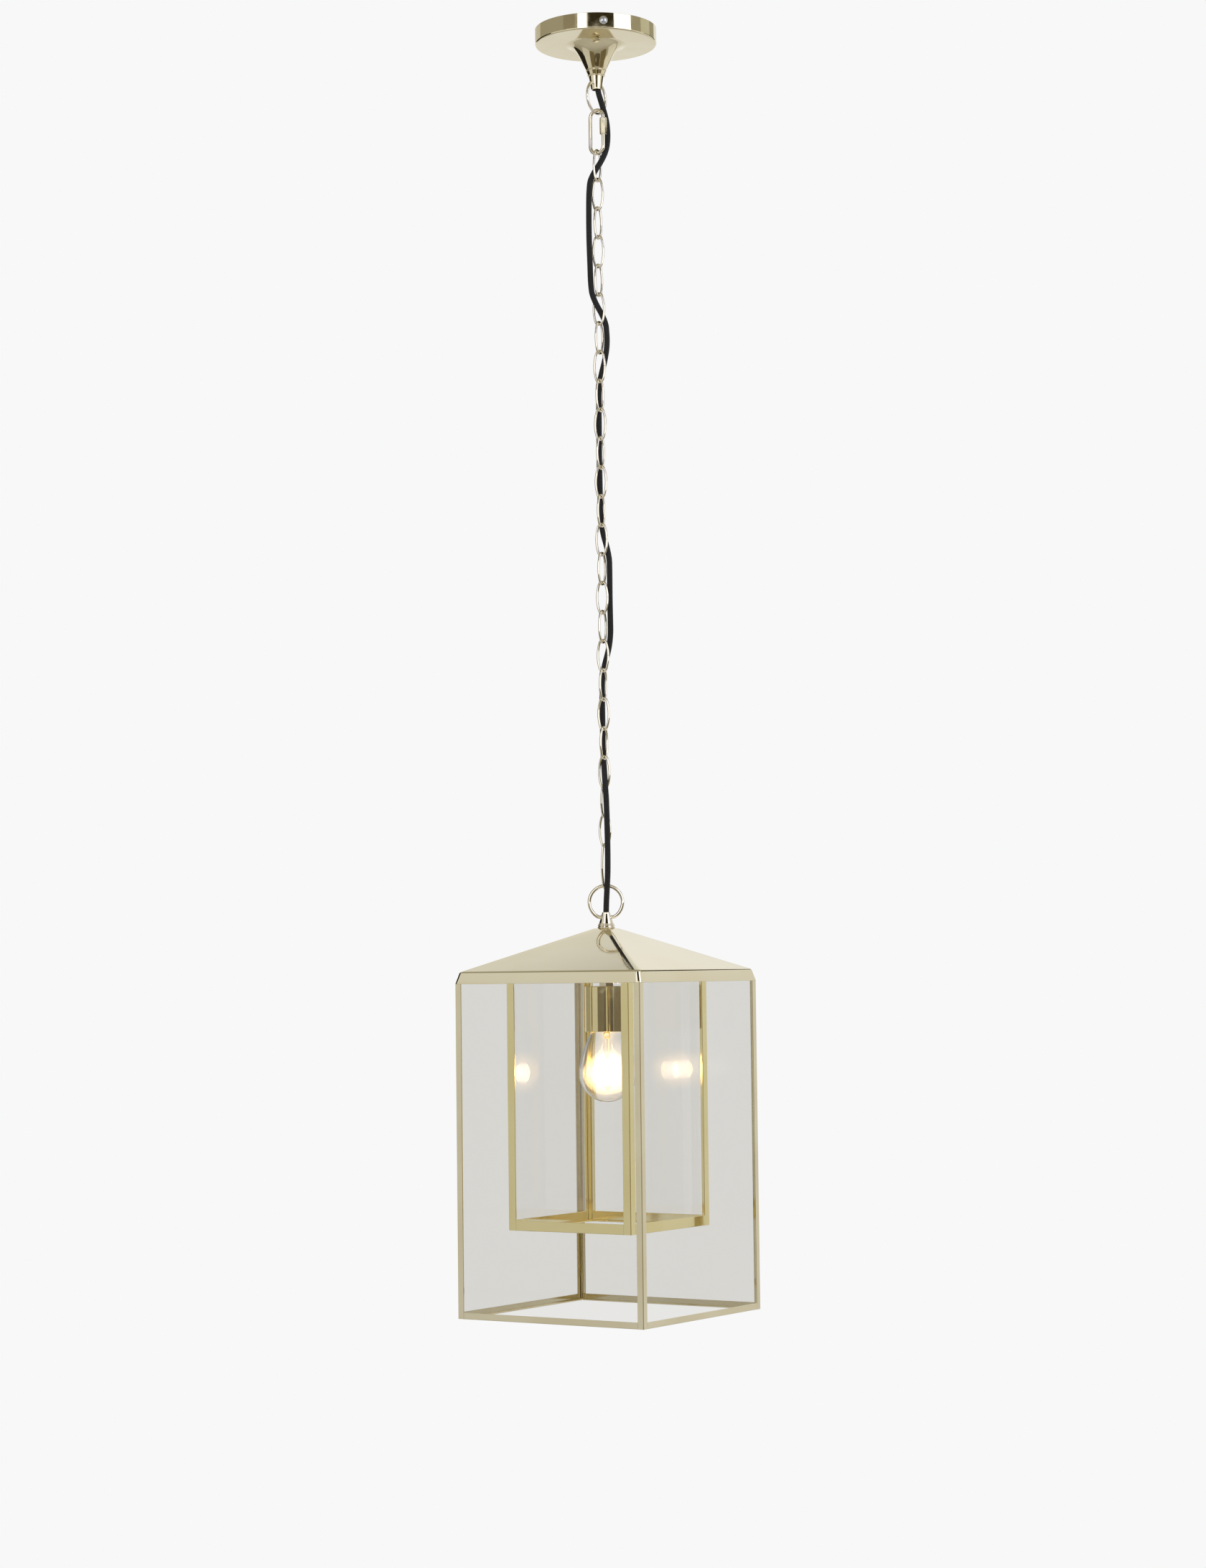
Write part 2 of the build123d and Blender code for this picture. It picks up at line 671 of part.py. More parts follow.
def lampholder_parts():
    """Brass cup, ceramic insert, contacts and the last leads."""
    cup = rod(CUP_R, cup_top_z - CUP_H, cup_top_z)
    cup = fillet(cup.edges().group_by(Axis.Z)[-1], CUP_EDGE_R)
    cup -= rod(CUP_R - CUP_WALL, cup_top_z - CUP_H, cup_top_z - SHEET)
    cup -= rod(TUBE_R + THREAD_GAP, cup_top_z - SHEET, cup_top_z)
    top = cup_top_z - INSERT_TOP
    low = top - INSERT_H
    insert = rod(CUP_R - CUP_WALL - GAP, low, top)
    shell_low = low + SHELL_RECESS
    tongue_z = contact_top_z + GAP
    insert -= rod(SHELL_R + GAP, low, cap_top_z)
    insert -= rod(SHELL_R - SHELL_RECESS, cap_top_z, tongue_z + TONGUE_T)
    sleeve = rod(SHELL_R, shell_low, cap_top_z) - rod(SHELL_R - SHELL_WALL, shell_low, cap_top_z)
    tongue = slab((-TONGUE_W, TONGUE_W), (-TONGUE_W / 2, TONGUE_W / 2), (tongue_z, tongue_z + TONGUE_T))
    leads = [rod(LEAD_D / 2, top, cord_end_z, side * LEAD_SPREAD) for side in (-1, 1)]
    return {
        "lampholder_cup": cup,
        "lampholder_insert": insert,
        "lampholder_contacts": Compound([sleeve, tongue]),
        "lamp_leads": Compound(leads),
    }


def bulb_parts():
    """Clear bulb: glass, screw cap with its contact, stem with wires, capsule and filament."""
    low = rim_z - BULB_DROP
    centre = low + BULB_R
    shoulder_z = rim_z - BULB_SHOULDER_DROP
    seal_top = cap_low_z + BULB_SEAL_H
    neck_low = cap_low_z - BULB_NECK_SHOWN

    def envelope(inset):
        swell = Vector(BULB_R - inset, centre)
        shoulder_r = BULB_SHOULDER_R - inset
        ball = ThreePointArc(
            (0, low + inset),
            ((BULB_R - inset) * sin(pi / 4), centre - (BULB_R - inset) * cos(pi / 4)),
            (swell.X, swell.Y),
        )
        waist = Bezier(
            (swell.X, swell.Y),
            (swell.X, centre + BULB_SWELL),
            (shoulder_r + BULB_WAIST[0], shoulder_z - BULB_WAIST[1]),
            (shoulder_r, shoulder_z),
        )
        neck_r = BULB_NECK_R - inset
        neck = Bezier(
            (shoulder_r, shoulder_z),
            (shoulder_r - BULB_THROAT[0], shoulder_z + BULB_THROAT[1]),
            (neck_r, neck_low - BULB_NECK_EASE + BULB_NECK_SHOWN),
            (neck_r, neck_low),
        )
        close = Polyline((neck_r, neck_low), (neck_r, seal_top), (0, seal_top), (0, low + inset))
        return spin(make_face(Wire([ball, waist, neck, *close.edges()])))

    glass = envelope(0) - envelope(BULB_GLASS)

    seat_r = BULB_NECK_R + THREAD_GAP
    root_r = CAP_R - CAP_THREAD_DEPTH
    inner_r = root_r - CAP_WALL - CAP_THREAD_DEPTH
    cone_z = cap_top_z - CAP_CONE_H
    outline = [(seat_r, cap_low_z), (CAP_R, cap_low_z)]
    for n in range(int((CAP_H - CAP_CONE_H) / CAP_PITCH)):
        z = cap_low_z + (n + 0.5) * CAP_PITCH
        outline += [(CAP_R, z), (root_r, z + CAP_PITCH / 2)]
    outline += [(root_r, cone_z), (CAP_RIM_R, cap_top_z), (CAP_RIM_R - CAP_WALL, cap_top_z - CAP_WALL)]
    outline += [(inner_r, cone_z - CAP_WALL), (inner_r, seal_top + CAP_WALL), (seat_r, seal_top + CAP_WALL)]
    cap = turned(*outline)
    tip_r = CAP_RIM_R - CAP_WALL - THREAD_GAP
    insulator = turned(
        (0, cap_top_z - CAP_CONE_H / 2),
        (tip_r - CAP_WALL, cap_top_z - CAP_CONE_H / 2),
        (tip_r, cap_top_z),
        (CAP_TIP_R, contact_low_z),
        (0, contact_low_z),
    )
    contact = rod(CAP_TIP_R, contact_low_z, contact_top_z)

    stem_top = seal_top - BULB_GLASS
    stem_low = stem_top - STEM_GLASS_L
    stem = rod(STEM_GLASS_R, stem_low, stem_top)
    stem += rod(BULB_NECK_R - BULB_GLASS - GAP, stem_top - STEM_FLANGE_T, stem_top)
    capsule_top = centre + CAPSULE_L / 2
    capsule_low = centre - CAPSULE_L / 2
    capsule = rod(CAPSULE_R, capsule_low + CAPSULE_R, capsule_top - CAPSULE_R)
    for z in (capsule_low + CAPSULE_R, capsule_top - CAPSULE_R):
        capsule += Pos(0, 0, z) * Sphere(CAPSULE_R)
    capsule += rod(CAPSULE_TIP_R, capsule_low - CAPSULE_TIP_L, capsule_low + CAPSULE_TIP_R)
    pinch_top = capsule_top + PINCH_H
    pinch_z = (capsule_top - PINCH_LAP, pinch_top)
    capsule += slab((-CAPSULE_R, CAPSULE_R), (-CAPSULE_TIP_R, CAPSULE_TIP_R), pinch_z)
    hollow = rod(CAPSULE_R - CAPSULE_GLASS, capsule_low + CAPSULE_R, capsule_top - CAPSULE_R)
    for z in (capsule_low + CAPSULE_R, capsule_top - CAPSULE_R):
        hollow += Pos(0, 0, z) * Sphere(CAPSULE_R - CAPSULE_GLASS)
    capsule -= hollow
    supports = [rod(SUPPORT_WIRE / 2, pinch_top, stem_low, side * SUPPORT_SPREAD / 2) for side in (-1, 1)]
    coil_h = FILAMENT_TURNS * FILAMENT_PITCH
    coil = Pos(0, 0, centre - coil_h / 2) * Helix(FILAMENT_PITCH, coil_h, FILAMENT_COIL_R)
    filament = wire_along(coil, FILAMENT_WIRE)
    hollow_r = CAPSULE_R - CAPSULE_GLASS
    leg_edge = FILAMENT_COIL_R + FILAMENT_WIRE / 2
    leg_end = CAPSULE_L / 2 - CAPSULE_R + sqrt(hollow_r**2 - leg_edge**2) - THREAD_GAP
    leg_start = (coil_h + FILAMENT_WIRE) / 2 + THREAD_GAP
    legs = [
        rod(FILAMENT_WIRE / 2, centre + leg_start, centre + leg_end, FILAMENT_COIL_R),
        rod(FILAMENT_WIRE / 2, centre - leg_end, centre - leg_start, FILAMENT_COIL_R),
    ]
    return {
        "bulb_glass": glass,
        "bulb_cap": cap,
        "bulb_cap_tip": Compound([insulator, contact]),
        "bulb_capsule": Compound([stem, capsule]),
        "bulb_filament": Compound([filament, *legs, *supports]),
    }


def main():
    parts = {}
    for group in (
        rose_parts,
        trumpet_parts,
        quick_link_parts,
        chain_parts,
        ring_parts,
        finial_parts,
        roof_parts,
        frame_parts,
        lampholder_parts,
        bulb_parts,
    ):
        parts.update(group())
    for name, points in CORD_ROUTE.items():
        parts[name] = cord_tube(name, points)
    os.makedirs("parts", exist_ok=True)
    for name, solid in parts.items():
        export_step(solid, f"parts/{name}.step")
    print(len(parts), "nodes; rim bottom at", round(rim_z, 2), "lowest at", round(rim_z - OUTER_H, 2))
    return parts


if __name__ == "__main__":
    main()
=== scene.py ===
"""Looks of the hanging lantern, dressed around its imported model.

+Z is up and the ceiling is at z = 0. Shapes are worked out in millimetres and turned to metres by MM.
"""

from collections import namedtuple
from math import asin, atan2, cos, pi, radians, sin

import bmesh
import bpy
import numpy as np
from mathutils import Matrix, Vector


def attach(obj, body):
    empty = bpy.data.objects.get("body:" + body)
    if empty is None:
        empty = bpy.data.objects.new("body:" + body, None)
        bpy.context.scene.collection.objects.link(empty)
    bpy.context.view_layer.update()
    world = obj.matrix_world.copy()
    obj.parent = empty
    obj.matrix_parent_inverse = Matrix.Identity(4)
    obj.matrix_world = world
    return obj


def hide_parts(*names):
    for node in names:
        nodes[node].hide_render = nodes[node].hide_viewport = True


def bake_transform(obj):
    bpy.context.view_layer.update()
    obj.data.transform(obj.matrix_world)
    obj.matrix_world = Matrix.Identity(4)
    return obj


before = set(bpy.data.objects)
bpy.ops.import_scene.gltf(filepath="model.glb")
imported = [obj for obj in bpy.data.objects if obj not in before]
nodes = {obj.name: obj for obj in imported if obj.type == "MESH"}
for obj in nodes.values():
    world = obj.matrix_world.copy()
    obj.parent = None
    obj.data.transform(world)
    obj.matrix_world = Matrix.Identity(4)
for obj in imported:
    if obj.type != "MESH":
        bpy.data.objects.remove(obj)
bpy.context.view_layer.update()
scene = bpy.context.scene

MM = 0.001
GAP = 0.3
SHEET = 1.2
SPUN_WALL = 1.0
LIP_R = 0.5

# Grid steps round an eased corner of a spun piece, and the angles in degrees above which an edge stays sharp
SPUN_STEPS = 25
FOLD_CREASE = 10
GLASS_CREASE = 60

# Camera, as the photograph was taken
CAMERA_AZIMUTH = 33.34
CAMERA_DISTANCE = 3.624
CAMERA_HEIGHT = -1.045
CAMERA_YAW = -0.027
CAMERA_PITCH = 3.232
CAMERA_ROLL = -0.677
FOCAL_PX = 4605
IMAGE_H_PX = 2184
SENSOR_MM = 36
CAMERA_REACH = 60

# Ceiling rose and trumpet
ROSE_R = 67.5
ROSE_H = 18.0
ROSE_EASE = 1.8
STEM_R = 6.0
STEM_TOP = -12.0
BORE_R = 3.5
TRUMPET_R = 34.0
NECK_R = 10.6
NECK_Z = -47.0
LOW_BEAD_R = 9.0
NOZZLE_TOP_R = 8.2
NOZZLE_TOP = -52.4
NOZZLE_END_R = 5.9
NOZZLE_END = -68.0
NOZZLE_BORE_R = 4.9
BEAD_R = 0.75
BEAD_FOOT = 0.8
LIP_FOOT = 0.6
# Handles of the flare's curve, from its rim and from its neck, and the corners of the hollow, from the neck
FLARE_FROM_RIM = (-13, -1)
FLARE_FROM_NECK = (6, 10)
HOLLOW_FROM_NECK = ((-1.8, 1.8), (4.0, 13.0), (9.0, 26.0))

# Rings, quick link and chain
RING_R = 18.2
RING_SHOULDER_R = 4.5
QUICK_WIRE = 4.0
QUICK_HALF_W = 8.55
QUICK_TOP = -90.925
QUICK_LOW = -139.425
QUICK_STUB = 3.0
QUICK_OPENING = 4.0
SLEEVE_AF = 7.2
SLEEVE_L = 19.0
SLEEVE_DROP = 1.0
SLEEVE_CHAMFER = 1.2
CHAMFER_FOOT = 0.1
CHAMFER_SLOPE = 0.9
LINK_WIRE = 2.6
LINK_HALF_W = 6.8
LINK_HALF_L = 17.5
LINK_END_R = 4.6
LINK_SEAM = 0.3
LINK_PITCH = 32.1
LINK_COUNT = 24
LINKS_PER_STRETCH = 5
CHAIN_STRETCHES = 5
CHAIN_TOP = -137.275
END_LINK_HALF_L = 24.6
WIRE_AROUND = 24
LINK_AROUND = 18

# Finial and roof
FINIAL_PIN = -986.355
FINIAL_H = 17.7
FINIAL_LIP = 3.9
TUBE_R = 5.0
TUBE_HOLE_R = TUBE_R + 0.1
TUBE_SOCKET = 6.0
ROOF_TOP = -998.755
RIM_Z = -1057.855
RIM_H = 13.0
RIM_HALF = 120.3
CREASE_HALF = 116.7
ROOF_TOP_HALF = 10.5
# Finial, out from the axis and up from the roof's top: the ends of its cone, then each bead with its radius,
# half turn in degrees and grid steps
FINIAL_CONE = ((4.4, 17.0), (8.0, 5.4))
FINIAL_BEADS = ((8.1, 4.8, 0.6, 60, 7), (8.7, 3.3, 0.8, 75, 9), (9.0, 0.9, 0.9, 80, 9))
# Corner radius of the roof at one half width, its growth with half width, its limits and the share that fits
CORNER_R = 2.6
CORNER_AT = 12
CORNER_GROWTH = 0.03
CORNER_LIMITS = (0.6, 5.2)
CORNER_SHARE = 0.98

# Rings: body, height of the pins, where each pin starts and ends, turn of the ring's plane, way up, wire
RINGS = (
    ("top_ring", -61.0, 5.2, 8.132, 90, -1, 3.0),
    ("hanging_ring", FINIAL_PIN, 3.8, 7.079, CAMERA_AZIMUTH, 1, 3.8),
)

# Frames
OUTER_HALF = 118.8
OUTER_H = 360.0
OUTER_LEG = 7.5
OUTER_RAIL_H = 7.0
INNER_HALF = 78.8
INNER_H = 266.7
INNER_LEG = 9.5
INNER_RAIL_H = 11.0

# Lampholder and bulb
CUP_TOP = -1061.855
CUP_R = 23.8
CUP_H = 49.6
BULB_LOW = RIM_Z - 130.4
BULB_R = 31.0
BULB_NECK_R = 12.3
BULB_SHOULDER_R = 17.2
BULB_SHOULDER_Z = RIM_Z - 53.0
CAP_LOW = -1101.855
BULB_CENTRE = BULB_LOW + BULB_R
BULB_WALL = 0.8
BULB_SEAL = CAP_LOW + 5
BULB_NECK_END = CAP_LOW - 1
# Handles of the bulb's curves: above the ball, out and in from the shoulder, and below the cap
BALL_RISE = 17
SHOULDER_OUT = (3.6, -6)
SHOULDER_IN = (-3, 5)
NECK_DROP = 4
# Lit capsule: its tip from the low end and its pinch from the top end, and the glass stem from the seal
CAPSULE_R = 6.0
CAPSULE_L = 34.0
CAPSULE_TURN = 62
CAPSULE_TIP = ((0, -1.5), (1.4, -1.2), (2.0, 0.2))
CAPSULE_PINCH = ((2.4, 0.2), (2.2, 4), (0, 4))
STEM_PROFILE = (
    (0, -22), (2.4, -21.6), (3.6, -19), (3.2, -12), (4.2, -6), (7.5, -2.5), (11.0, -0.8), (11.0, 0), (0, 0),
)

# Painted glow round the lit capsule: half width, half height and level of each shell, how much each one
# covers, and its colour at its ends and at its middle, from the innermost shell to the outermost
GLOW_SHELLS = (
    (8, 10, 0.5), (11, 12, 0.25), (15, 14.5, 0.12), (19, 17, 0.045), (23, 20, 0.016), (27, 23, 0.008),
)
GLOW_COVER = 0.04
GLOW_EDGE = ((1.0, 0.82, 0.5), (1.0, 0.66, 0.3))
GLOW_CORE = ((1.0, 0.93, 0.8), (1.0, 0.77, 0.45))

# Cord route from the rose to the lampholder, stretch by stretch: control points, length, the bodies that the
# stretch joins, and the heights between which it bends with their joint
CORD_D = 6.3
CORD_AROUND = 28
CORD_STEPS = 14
BRAID_STRANDS = 12
CORD_ROUTE = {
    "cord_1": (
        [(0, 0, -12), (0, 0, -39), (0.5, 0.4, -66), (2.75, 2.35, -76)],
        64.4, "ceiling", "top_ring", -58, -76,
    ),
    "cord_2": (
        [(2.75, 2.35, -76), (6.35, 5.47, -92), (8.1, 8.5, -105), (8.3, 8.95, -113.5)],
        38.6, "top_ring", "quick_link", -80, -100,
    ),
    "cord_3": (
        [
            (8.3, 8.95, -113.5), (8.57, 9.56, -125), (6.2, 5.2, -143), (-5.8, -4.8, -166.6),
            (-6.6, -6.9, -180), (-6.8, -7.6, -197), (-6.8, -7.8, -211),
        ],
        102.6, "quick_link", "chain_1", -122, -150,
    ),
    "cord_4": (
        [
            (-6.8, -7.8, -211), (-6.8, -8.1, -232), (-6.2, -7.4, -265), (-6.0, -7.0, -286),
            (-4.6, -5.7, -301.5), (4.8, 5.9, -326.8), (5.7, 6.6, -341), (5.8, 6.65, -346),
        ],
        138.8, "chain_1", "chain_2", -285, -310,
    ),
    "cord_5": (
        [
            (5.8, 6.65, -346), (6.08, 6.79, -360), (-5.2, 6.8, -394), (-5.9, 6.4, -411), (-5.6, 6.0, -442),
            (-5.9, 6.0, -476), (-5.6, 6.3, -510), (-5.6, 6.5, -532),
        ],
        187.6, "chain_2", "chain_3", -440, -480,
    ),
    "cord_6": (
        [
            (-5.6, 6.5, -532), (-5.6, 6.7, -554), (5.3, 6.7, -587), (5.9, 6.3, -605), (5.7, 6.3, -634),
            (5.95, 6.4, -656), (6.05, 6.5, -667),
        ],
        136.5, "chain_3", "chain_4", -600, -640,
    ),
    "cord_7": (
        [
            (6.05, 6.5, -667), (6.2, 6.65, -683.5), (-5.2, 6.8, -716), (-5.9, 6.3, -732), (-5.6, 6.0, -763),
            (-5.7, 6.2, -783), (-5.7, 6.3, -793),
        ],
        127.7, "chain_4", "chain_5", -768, -792,
    ),
    "cord_8": (
        [
            (-5.7, 6.3, -793), (-5.7, 6.4, -803), (-4.2, 5.3, -815.4), (4.2, -5.3, -839.6), (6.1, -6.4, -855),
            (6.8, -6.1, -885), (7.0, -5.9, -917), (6.9, -6.2, -939), (4.41, -4.2, -954.5),
            (2.31, -2.2, -965.5),
        ],
        176.6, "chain_5", "hanging_ring", -940, -964,
    ),
    "cord_9": (
        [(2.31, -2.2, -965.5), (0, 0, -977.6), (0.08, 0.05, -1000), (0, 0.1, -1035), (0.05, 0, -1067.05)],
        101.9, "hanging_ring", "lantern", -967, -983,
    ),
}

Skin = namedtuple("Skin", "points caps uv", defaults=(False, None))


def circle_arc(centre, radius, start, end, count):
    """centre + radius (cos a, sin a), with a from start to end in degrees."""
    a = np.radians(np.linspace(start, end, count))
    return np.stack([centre[0] + radius * np.cos(a), centre[1] + radius * np.sin(a)], 1)


def line(start, end, count=2):
    """start + t (end - start), with t from 0 to 1."""
    t = np.linspace(0, 1, count)[:, None]
    return np.asarray(start, float) * (1 - t) + np.asarray(end, float) * t


def bezier(points, count):
    """Cubic curve (1-t)^3 a + 3 t (1-t)^2 b + 3 t^2 (1-t) c + t^3 d."""
    a, b, c, d = np.asarray(points, float)
    t = np.linspace(0, 1, count)[:, None]
    return (1 - t) ** 3 * a + 3 * t * (1 - t) ** 2 * b + 3 * t**2 * (1 - t) * c + t**3 * d


def eased(corners, radii, count=7):
    """Closed outline whose corners are arcs: centre + (sin((1-t)w) s + sin(t w) e) / sin w.

    s and e run from the arc's centre to its two tangent points, and w is the angle between them.
    """
    p = np.asarray(corners, float)
    r = np.asarray(radii, float)[:, None]
    back = np.roll(p, 1, 0) - p
    on = np.roll(p, -1, 0) - p
    back /= np.linalg.norm(back, axis=1, keepdims=True)
    on /= np.linalg.norm(on, axis=1, keepdims=True)
    half = np.arccos(np.clip((back * on).sum(1, keepdims=True), -1, 1)) / 2
    middle = back + on
    middle /= np.linalg.norm(middle, axis=1, keepdims=True)
    centre = p + middle * r / np.sin(half)
    s = (p + back * r / np.tan(half) - centre)[:, None]
    e = (p + on * r / np.tan(half) - centre)[:, None]
    w = (pi - 2 * half)[:, None]
    t = np.linspace(0, 1, count)[None, :, None]
    return (centre[:, None] + (np.sin((1 - t) * w) * s + np.sin(t * w) * e) / np.sin(w)).reshape(-1, 2)


def turned(outline, closed=True, turns=112):
    """Surface of revolution (r cos a, r sin a, z) of an outline of (r, z)."""
    rows = np.vstack([outline, outline[:1]]) if closed else np.asarray(outline, float)
    a = np.linspace(0, 2 * pi, turns + 1)
    r, z = rows[:, :1], np.broadcast_to(rows[:, 1:], (len(rows), turns + 1))
    return Skin(np.stack([r * np.cos(a), r * np.sin(a), z], 2))


def drawn(outline, low, high):
    """Bar along Z: the closed outline (x, y) carried from low to high, with flat ends."""
    ring = np.vstack([outline, outline[:1]])
    z = np.array([low, high], float)[:, None]
    x, y, z = (np.broadcast_to(v, (2, len(ring))) for v in (ring[:, 0], ring[:, 1], z))
    return Skin(np.stack([x, y, z], 2), True)


def wire(path, across, radius, around=20, braid=False):
    """Round wire p + radius (cos b n + sin b m): n is across made square to the tangent t, and m is t x n."""
    t = np.gradient(path, axis=0)
    t /= np.linalg.norm(t, axis=1, keepdims=True)
    n = across - (t @ np.asarray(across, float))[:, None] * t
    n /= np.linalg.norm(n, axis=1, keepdims=True)
    m = np.cross(t, n)
    b = np.linspace(0, 2 * pi, around + 1)[None, :, None]
    points = path[:, None] + radius * (np.cos(b) * n[:, None] + np.sin(b) * m[:, None])
    uv = None
    if braid:
        run = np.r_[0, np.linalg.norm(np.diff(path, axis=0), axis=1).cumsum()] / (2 * pi * radius)
        uv = np.stack(np.broadcast_arrays(np.linspace(0, 1, around + 1)[None], run[:, None]), 2)
    return Skin(points, True, uv)


def upright(flat, yaw, middle_z=0.0):
    """Places (sideways, up) points in the upright plane turned by yaw degrees."""
    s, z = flat[:, 0], flat[:, 1]
    return np.stack([s * cos(radians(yaw)), s * sin(radians(yaw)), middle_z + z], 1)


def swung(skin, yaw):
    """The skin turned round Z by yaw degrees."""
    c, s = cos(radians(yaw)), sin(radians(yaw))
    return skin._replace(points=skin.points @ np.array([[c, s, 0], [-s, c, 0], [0, 0, 1]]))


def square_loft(profile, corner):
    """Rounded square at each (half width, z) of the profile, with corner(half) as its corner radius.

    Each square is four quarter circles of the corner radius, centred at half - radius along X and Y.
    """
    half = profile[:, :1]
    r = corner(half)
    steps = 9
    a = np.concatenate([np.linspace(q, q + 90, steps) for q in (0, 90, 180, 270)] + [[360]])
    quarter = np.concatenate([np.full(steps, q) for q in (45, 135, 225, 315)] + [[45]])
    sx, sy = np.sign(np.cos(np.radians(quarter))), np.sign(np.sin(np.radians(quarter)))
    x = sx * (half - r) + r * np.cos(np.radians(a))
    y = sy * (half - r) + r * np.sin(np.radians(a))
    return Skin(np.stack([x, y, np.broadcast_to(profile[:, 1:], x.shape)], 2))


def piece(name, skins, finish, body=None, stands_for=(), crease=32):
    """One object from skins: quads of each grid, flat ends, doubles merged and normals turned outwards."""
    points, faces, uvs, base = [], [], [], 0
    for skin in skins:
        rows, columns = skin.points.shape[:2]
        index = base + np.arange(rows * columns).reshape(rows, columns)
        quads = np.stack([index[:-1, :-1], index[:-1, 1:], index[1:, 1:], index[1:, :-1]], -1)
        faces += quads.reshape(-1, 4).tolist()
        if skin.caps:
            faces += [index[0, :-1].tolist(), index[-1, :-1][::-1].tolist()]
        points.append(skin.points.reshape(-1, 3))
        uvs.append(np.zeros((rows * columns, 2)) if skin.uv is None else skin.uv.reshape(-1, 2))
        base += rows * columns
    mesh = bpy.data.meshes.new(name)
    mesh.from_pydata((np.vstack(points) * MM).tolist(), [], faces)
    if any(skin.uv is not None for skin in skins):
        corner = np.empty(len(mesh.loops), int)
        mesh.loops.foreach_get("vertex_index", corner)
        mesh.uv_layers.new(name="Braid").data.foreach_set("uv", np.vstack(uvs)[corner].ravel())
    work = bmesh.new()
    work.from_mesh(mesh)
    bmesh.ops.remove_doubles(work, verts=work.verts, dist=2e-6)
    bmesh.ops.recalc_face_normals(work, faces=work.faces)
    work.to_mesh(mesh)
    work.free()
    mesh.shade_smooth()
    mesh.set_sharp_from_angle(angle=radians(crease))
    mesh.materials.append(finish)
    made = bpy.data.objects.new(name, mesh)
    scene.collection.objects.link(made)
    if body:
        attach(made, body)
    if stands_for:
        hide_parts(*stands_for)
    return made


class Value:
    """A shader value. Arithmetic on it adds Math nodes."""

    def __init__(self, paint, socket):
        self.paint = paint
        self.socket = socket

    def maths(self, operation, *values):
        return self.paint.node("ShaderNodeMath", {"operation": operation}, dict(enumerate(values)))

    def __add__(self, other):
        return self.maths("ADD", self, other)

    def __sub__(self, other):
        return self.maths("SUBTRACT", self, other)

    def __rsub__(self, other):
        return self.maths("SUBTRACT", other, self)

    def __mul__(self, other):
        return self.maths("MULTIPLY", self, other)

    def __pow__(self, other):
        return self.maths("POWER", self, other)

    __radd__ = __add__
    __rmul__ = __mul__

    def sine(self):
        return self.maths("SINE", self)

    def largest(self, other):
        return self.maths("MAXIMUM", self, other)

    def between(self, low, high):
        """0 at low, 1 at high, eased."""
        kind = {"interpolation_type": "SMOOTHSTEP"}
        return self.paint.node("ShaderNodeMapRange", kind, {"Value": self, "From Min": low, "From Max": high})


class Paint:
    """A material, or the world round the object, and the nodes that colour it."""

    def __init__(self, name, world=False):
        self.material = (bpy.data.worlds if world else bpy.data.materials).new(name)
        self.material.use_nodes = True
        self.tree = self.material.node_tree
        self.shader = self.tree.nodes["Background" if world else "Principled BSDF"]
        self.output = self.tree.nodes["World Output" if world else "Material Output"]

    def node(self, kind, settings=None, inputs=None, out=0):
        made = self.tree.nodes.new(kind)
        for key, value in (settings or {}).items():
            setattr(made, key, value)
        for key, value in (inputs or {}).items():
            self.feed(made.inputs[key], value)
        return Value(self, made.outputs[out])

    def feed(self, socket, value):
        if isinstance(value, Value):
            self.tree.links.new(value.socket, socket)
        else:
            socket.default_value = value

    def place(self):
        return self.node("ShaderNodeTexCoord", out="Object")

    def axis(self, vector, out):
        return self.node("ShaderNodeSeparateXYZ", None, {"Vector": vector}, out)

    def stretched(self, vector, scale):
        return self.node("ShaderNodeMapping", None, {"Vector": vector, "Scale": scale})

    def noise(self, vector, scale, detail=2.0):
        return self.node("ShaderNodeTexNoise", None, {"Vector": vector, "Scale": scale, "Detail": detail})

    def mix(self, factor, a, b):
        a, b = ((*c, 1.0) if isinstance(c, tuple) else c for c in (a, b))
        return self.node("ShaderNodeMix", {"data_type": "RGBA"}, {0: factor, 6: a, 7: b}, 2)

    def bump(self, height, strength, distance):
        sockets = {"Height": height, "Strength": strength, "Distance": distance}
        return self.node("ShaderNodeBump", None, sockets)

    def shade(self, **sockets):
        """Sets the main shader's sockets, named in lower case with underscores."""
        named = {s.name.lower().replace(" ", "_"): s for s in self.shader.inputs}
        for key, value in sockets.items():
            self.feed(named[key], (*value, 1.0) if isinstance(value, tuple) else value)
        return self.material

    def ray(self, kind):
        return self.node("ShaderNodeLightPath", out=f"Is {kind} Ray")

    def cast(self, shader):
        self.tree.links.new(shader.socket, self.output.inputs["Surface"])
        return self.material

    def swapped(self, rays, other):
        """Casts the main shader, and the other one for the rays of those two kinds."""
        first, second = (self.ray(kind) for kind in rays)
        body = Value(self, self.shader.outputs[0])
        shaders = {0: first.largest(second), 1: body, 2: other}
        return self.cast(self.node("ShaderNodeMixShader", None, shaders))


def polished(name, tone, deep, sheen=(0.045, 0.13), drift=16, haze=150):
    """Polished plate: the tone drifts slowly, wiped polish hazes it, and fine lines run along Z."""
    paint = Paint(name)
    place = paint.place()
    wide = paint.noise(place, drift)
    wiped = paint.noise(place, haze, detail=4)
    lines = paint.noise(paint.stretched(place, (1, 1, 0.04)), scale=2600, detail=1)
    rough = (wiped.between(0.35, 0.75) * 0.7 + lines * 0.3) * (sheen[1] - sheen[0]) + sheen[0]
    return paint.shade(
        base_color=paint.mix(wide.between(0.3, 0.7), tone, deep),
        metallic=1.0,
        roughness=rough,
        normal=paint.bump(wide * 0.8 + lines * 0.02, strength=0.05, distance=0.0015),
    )


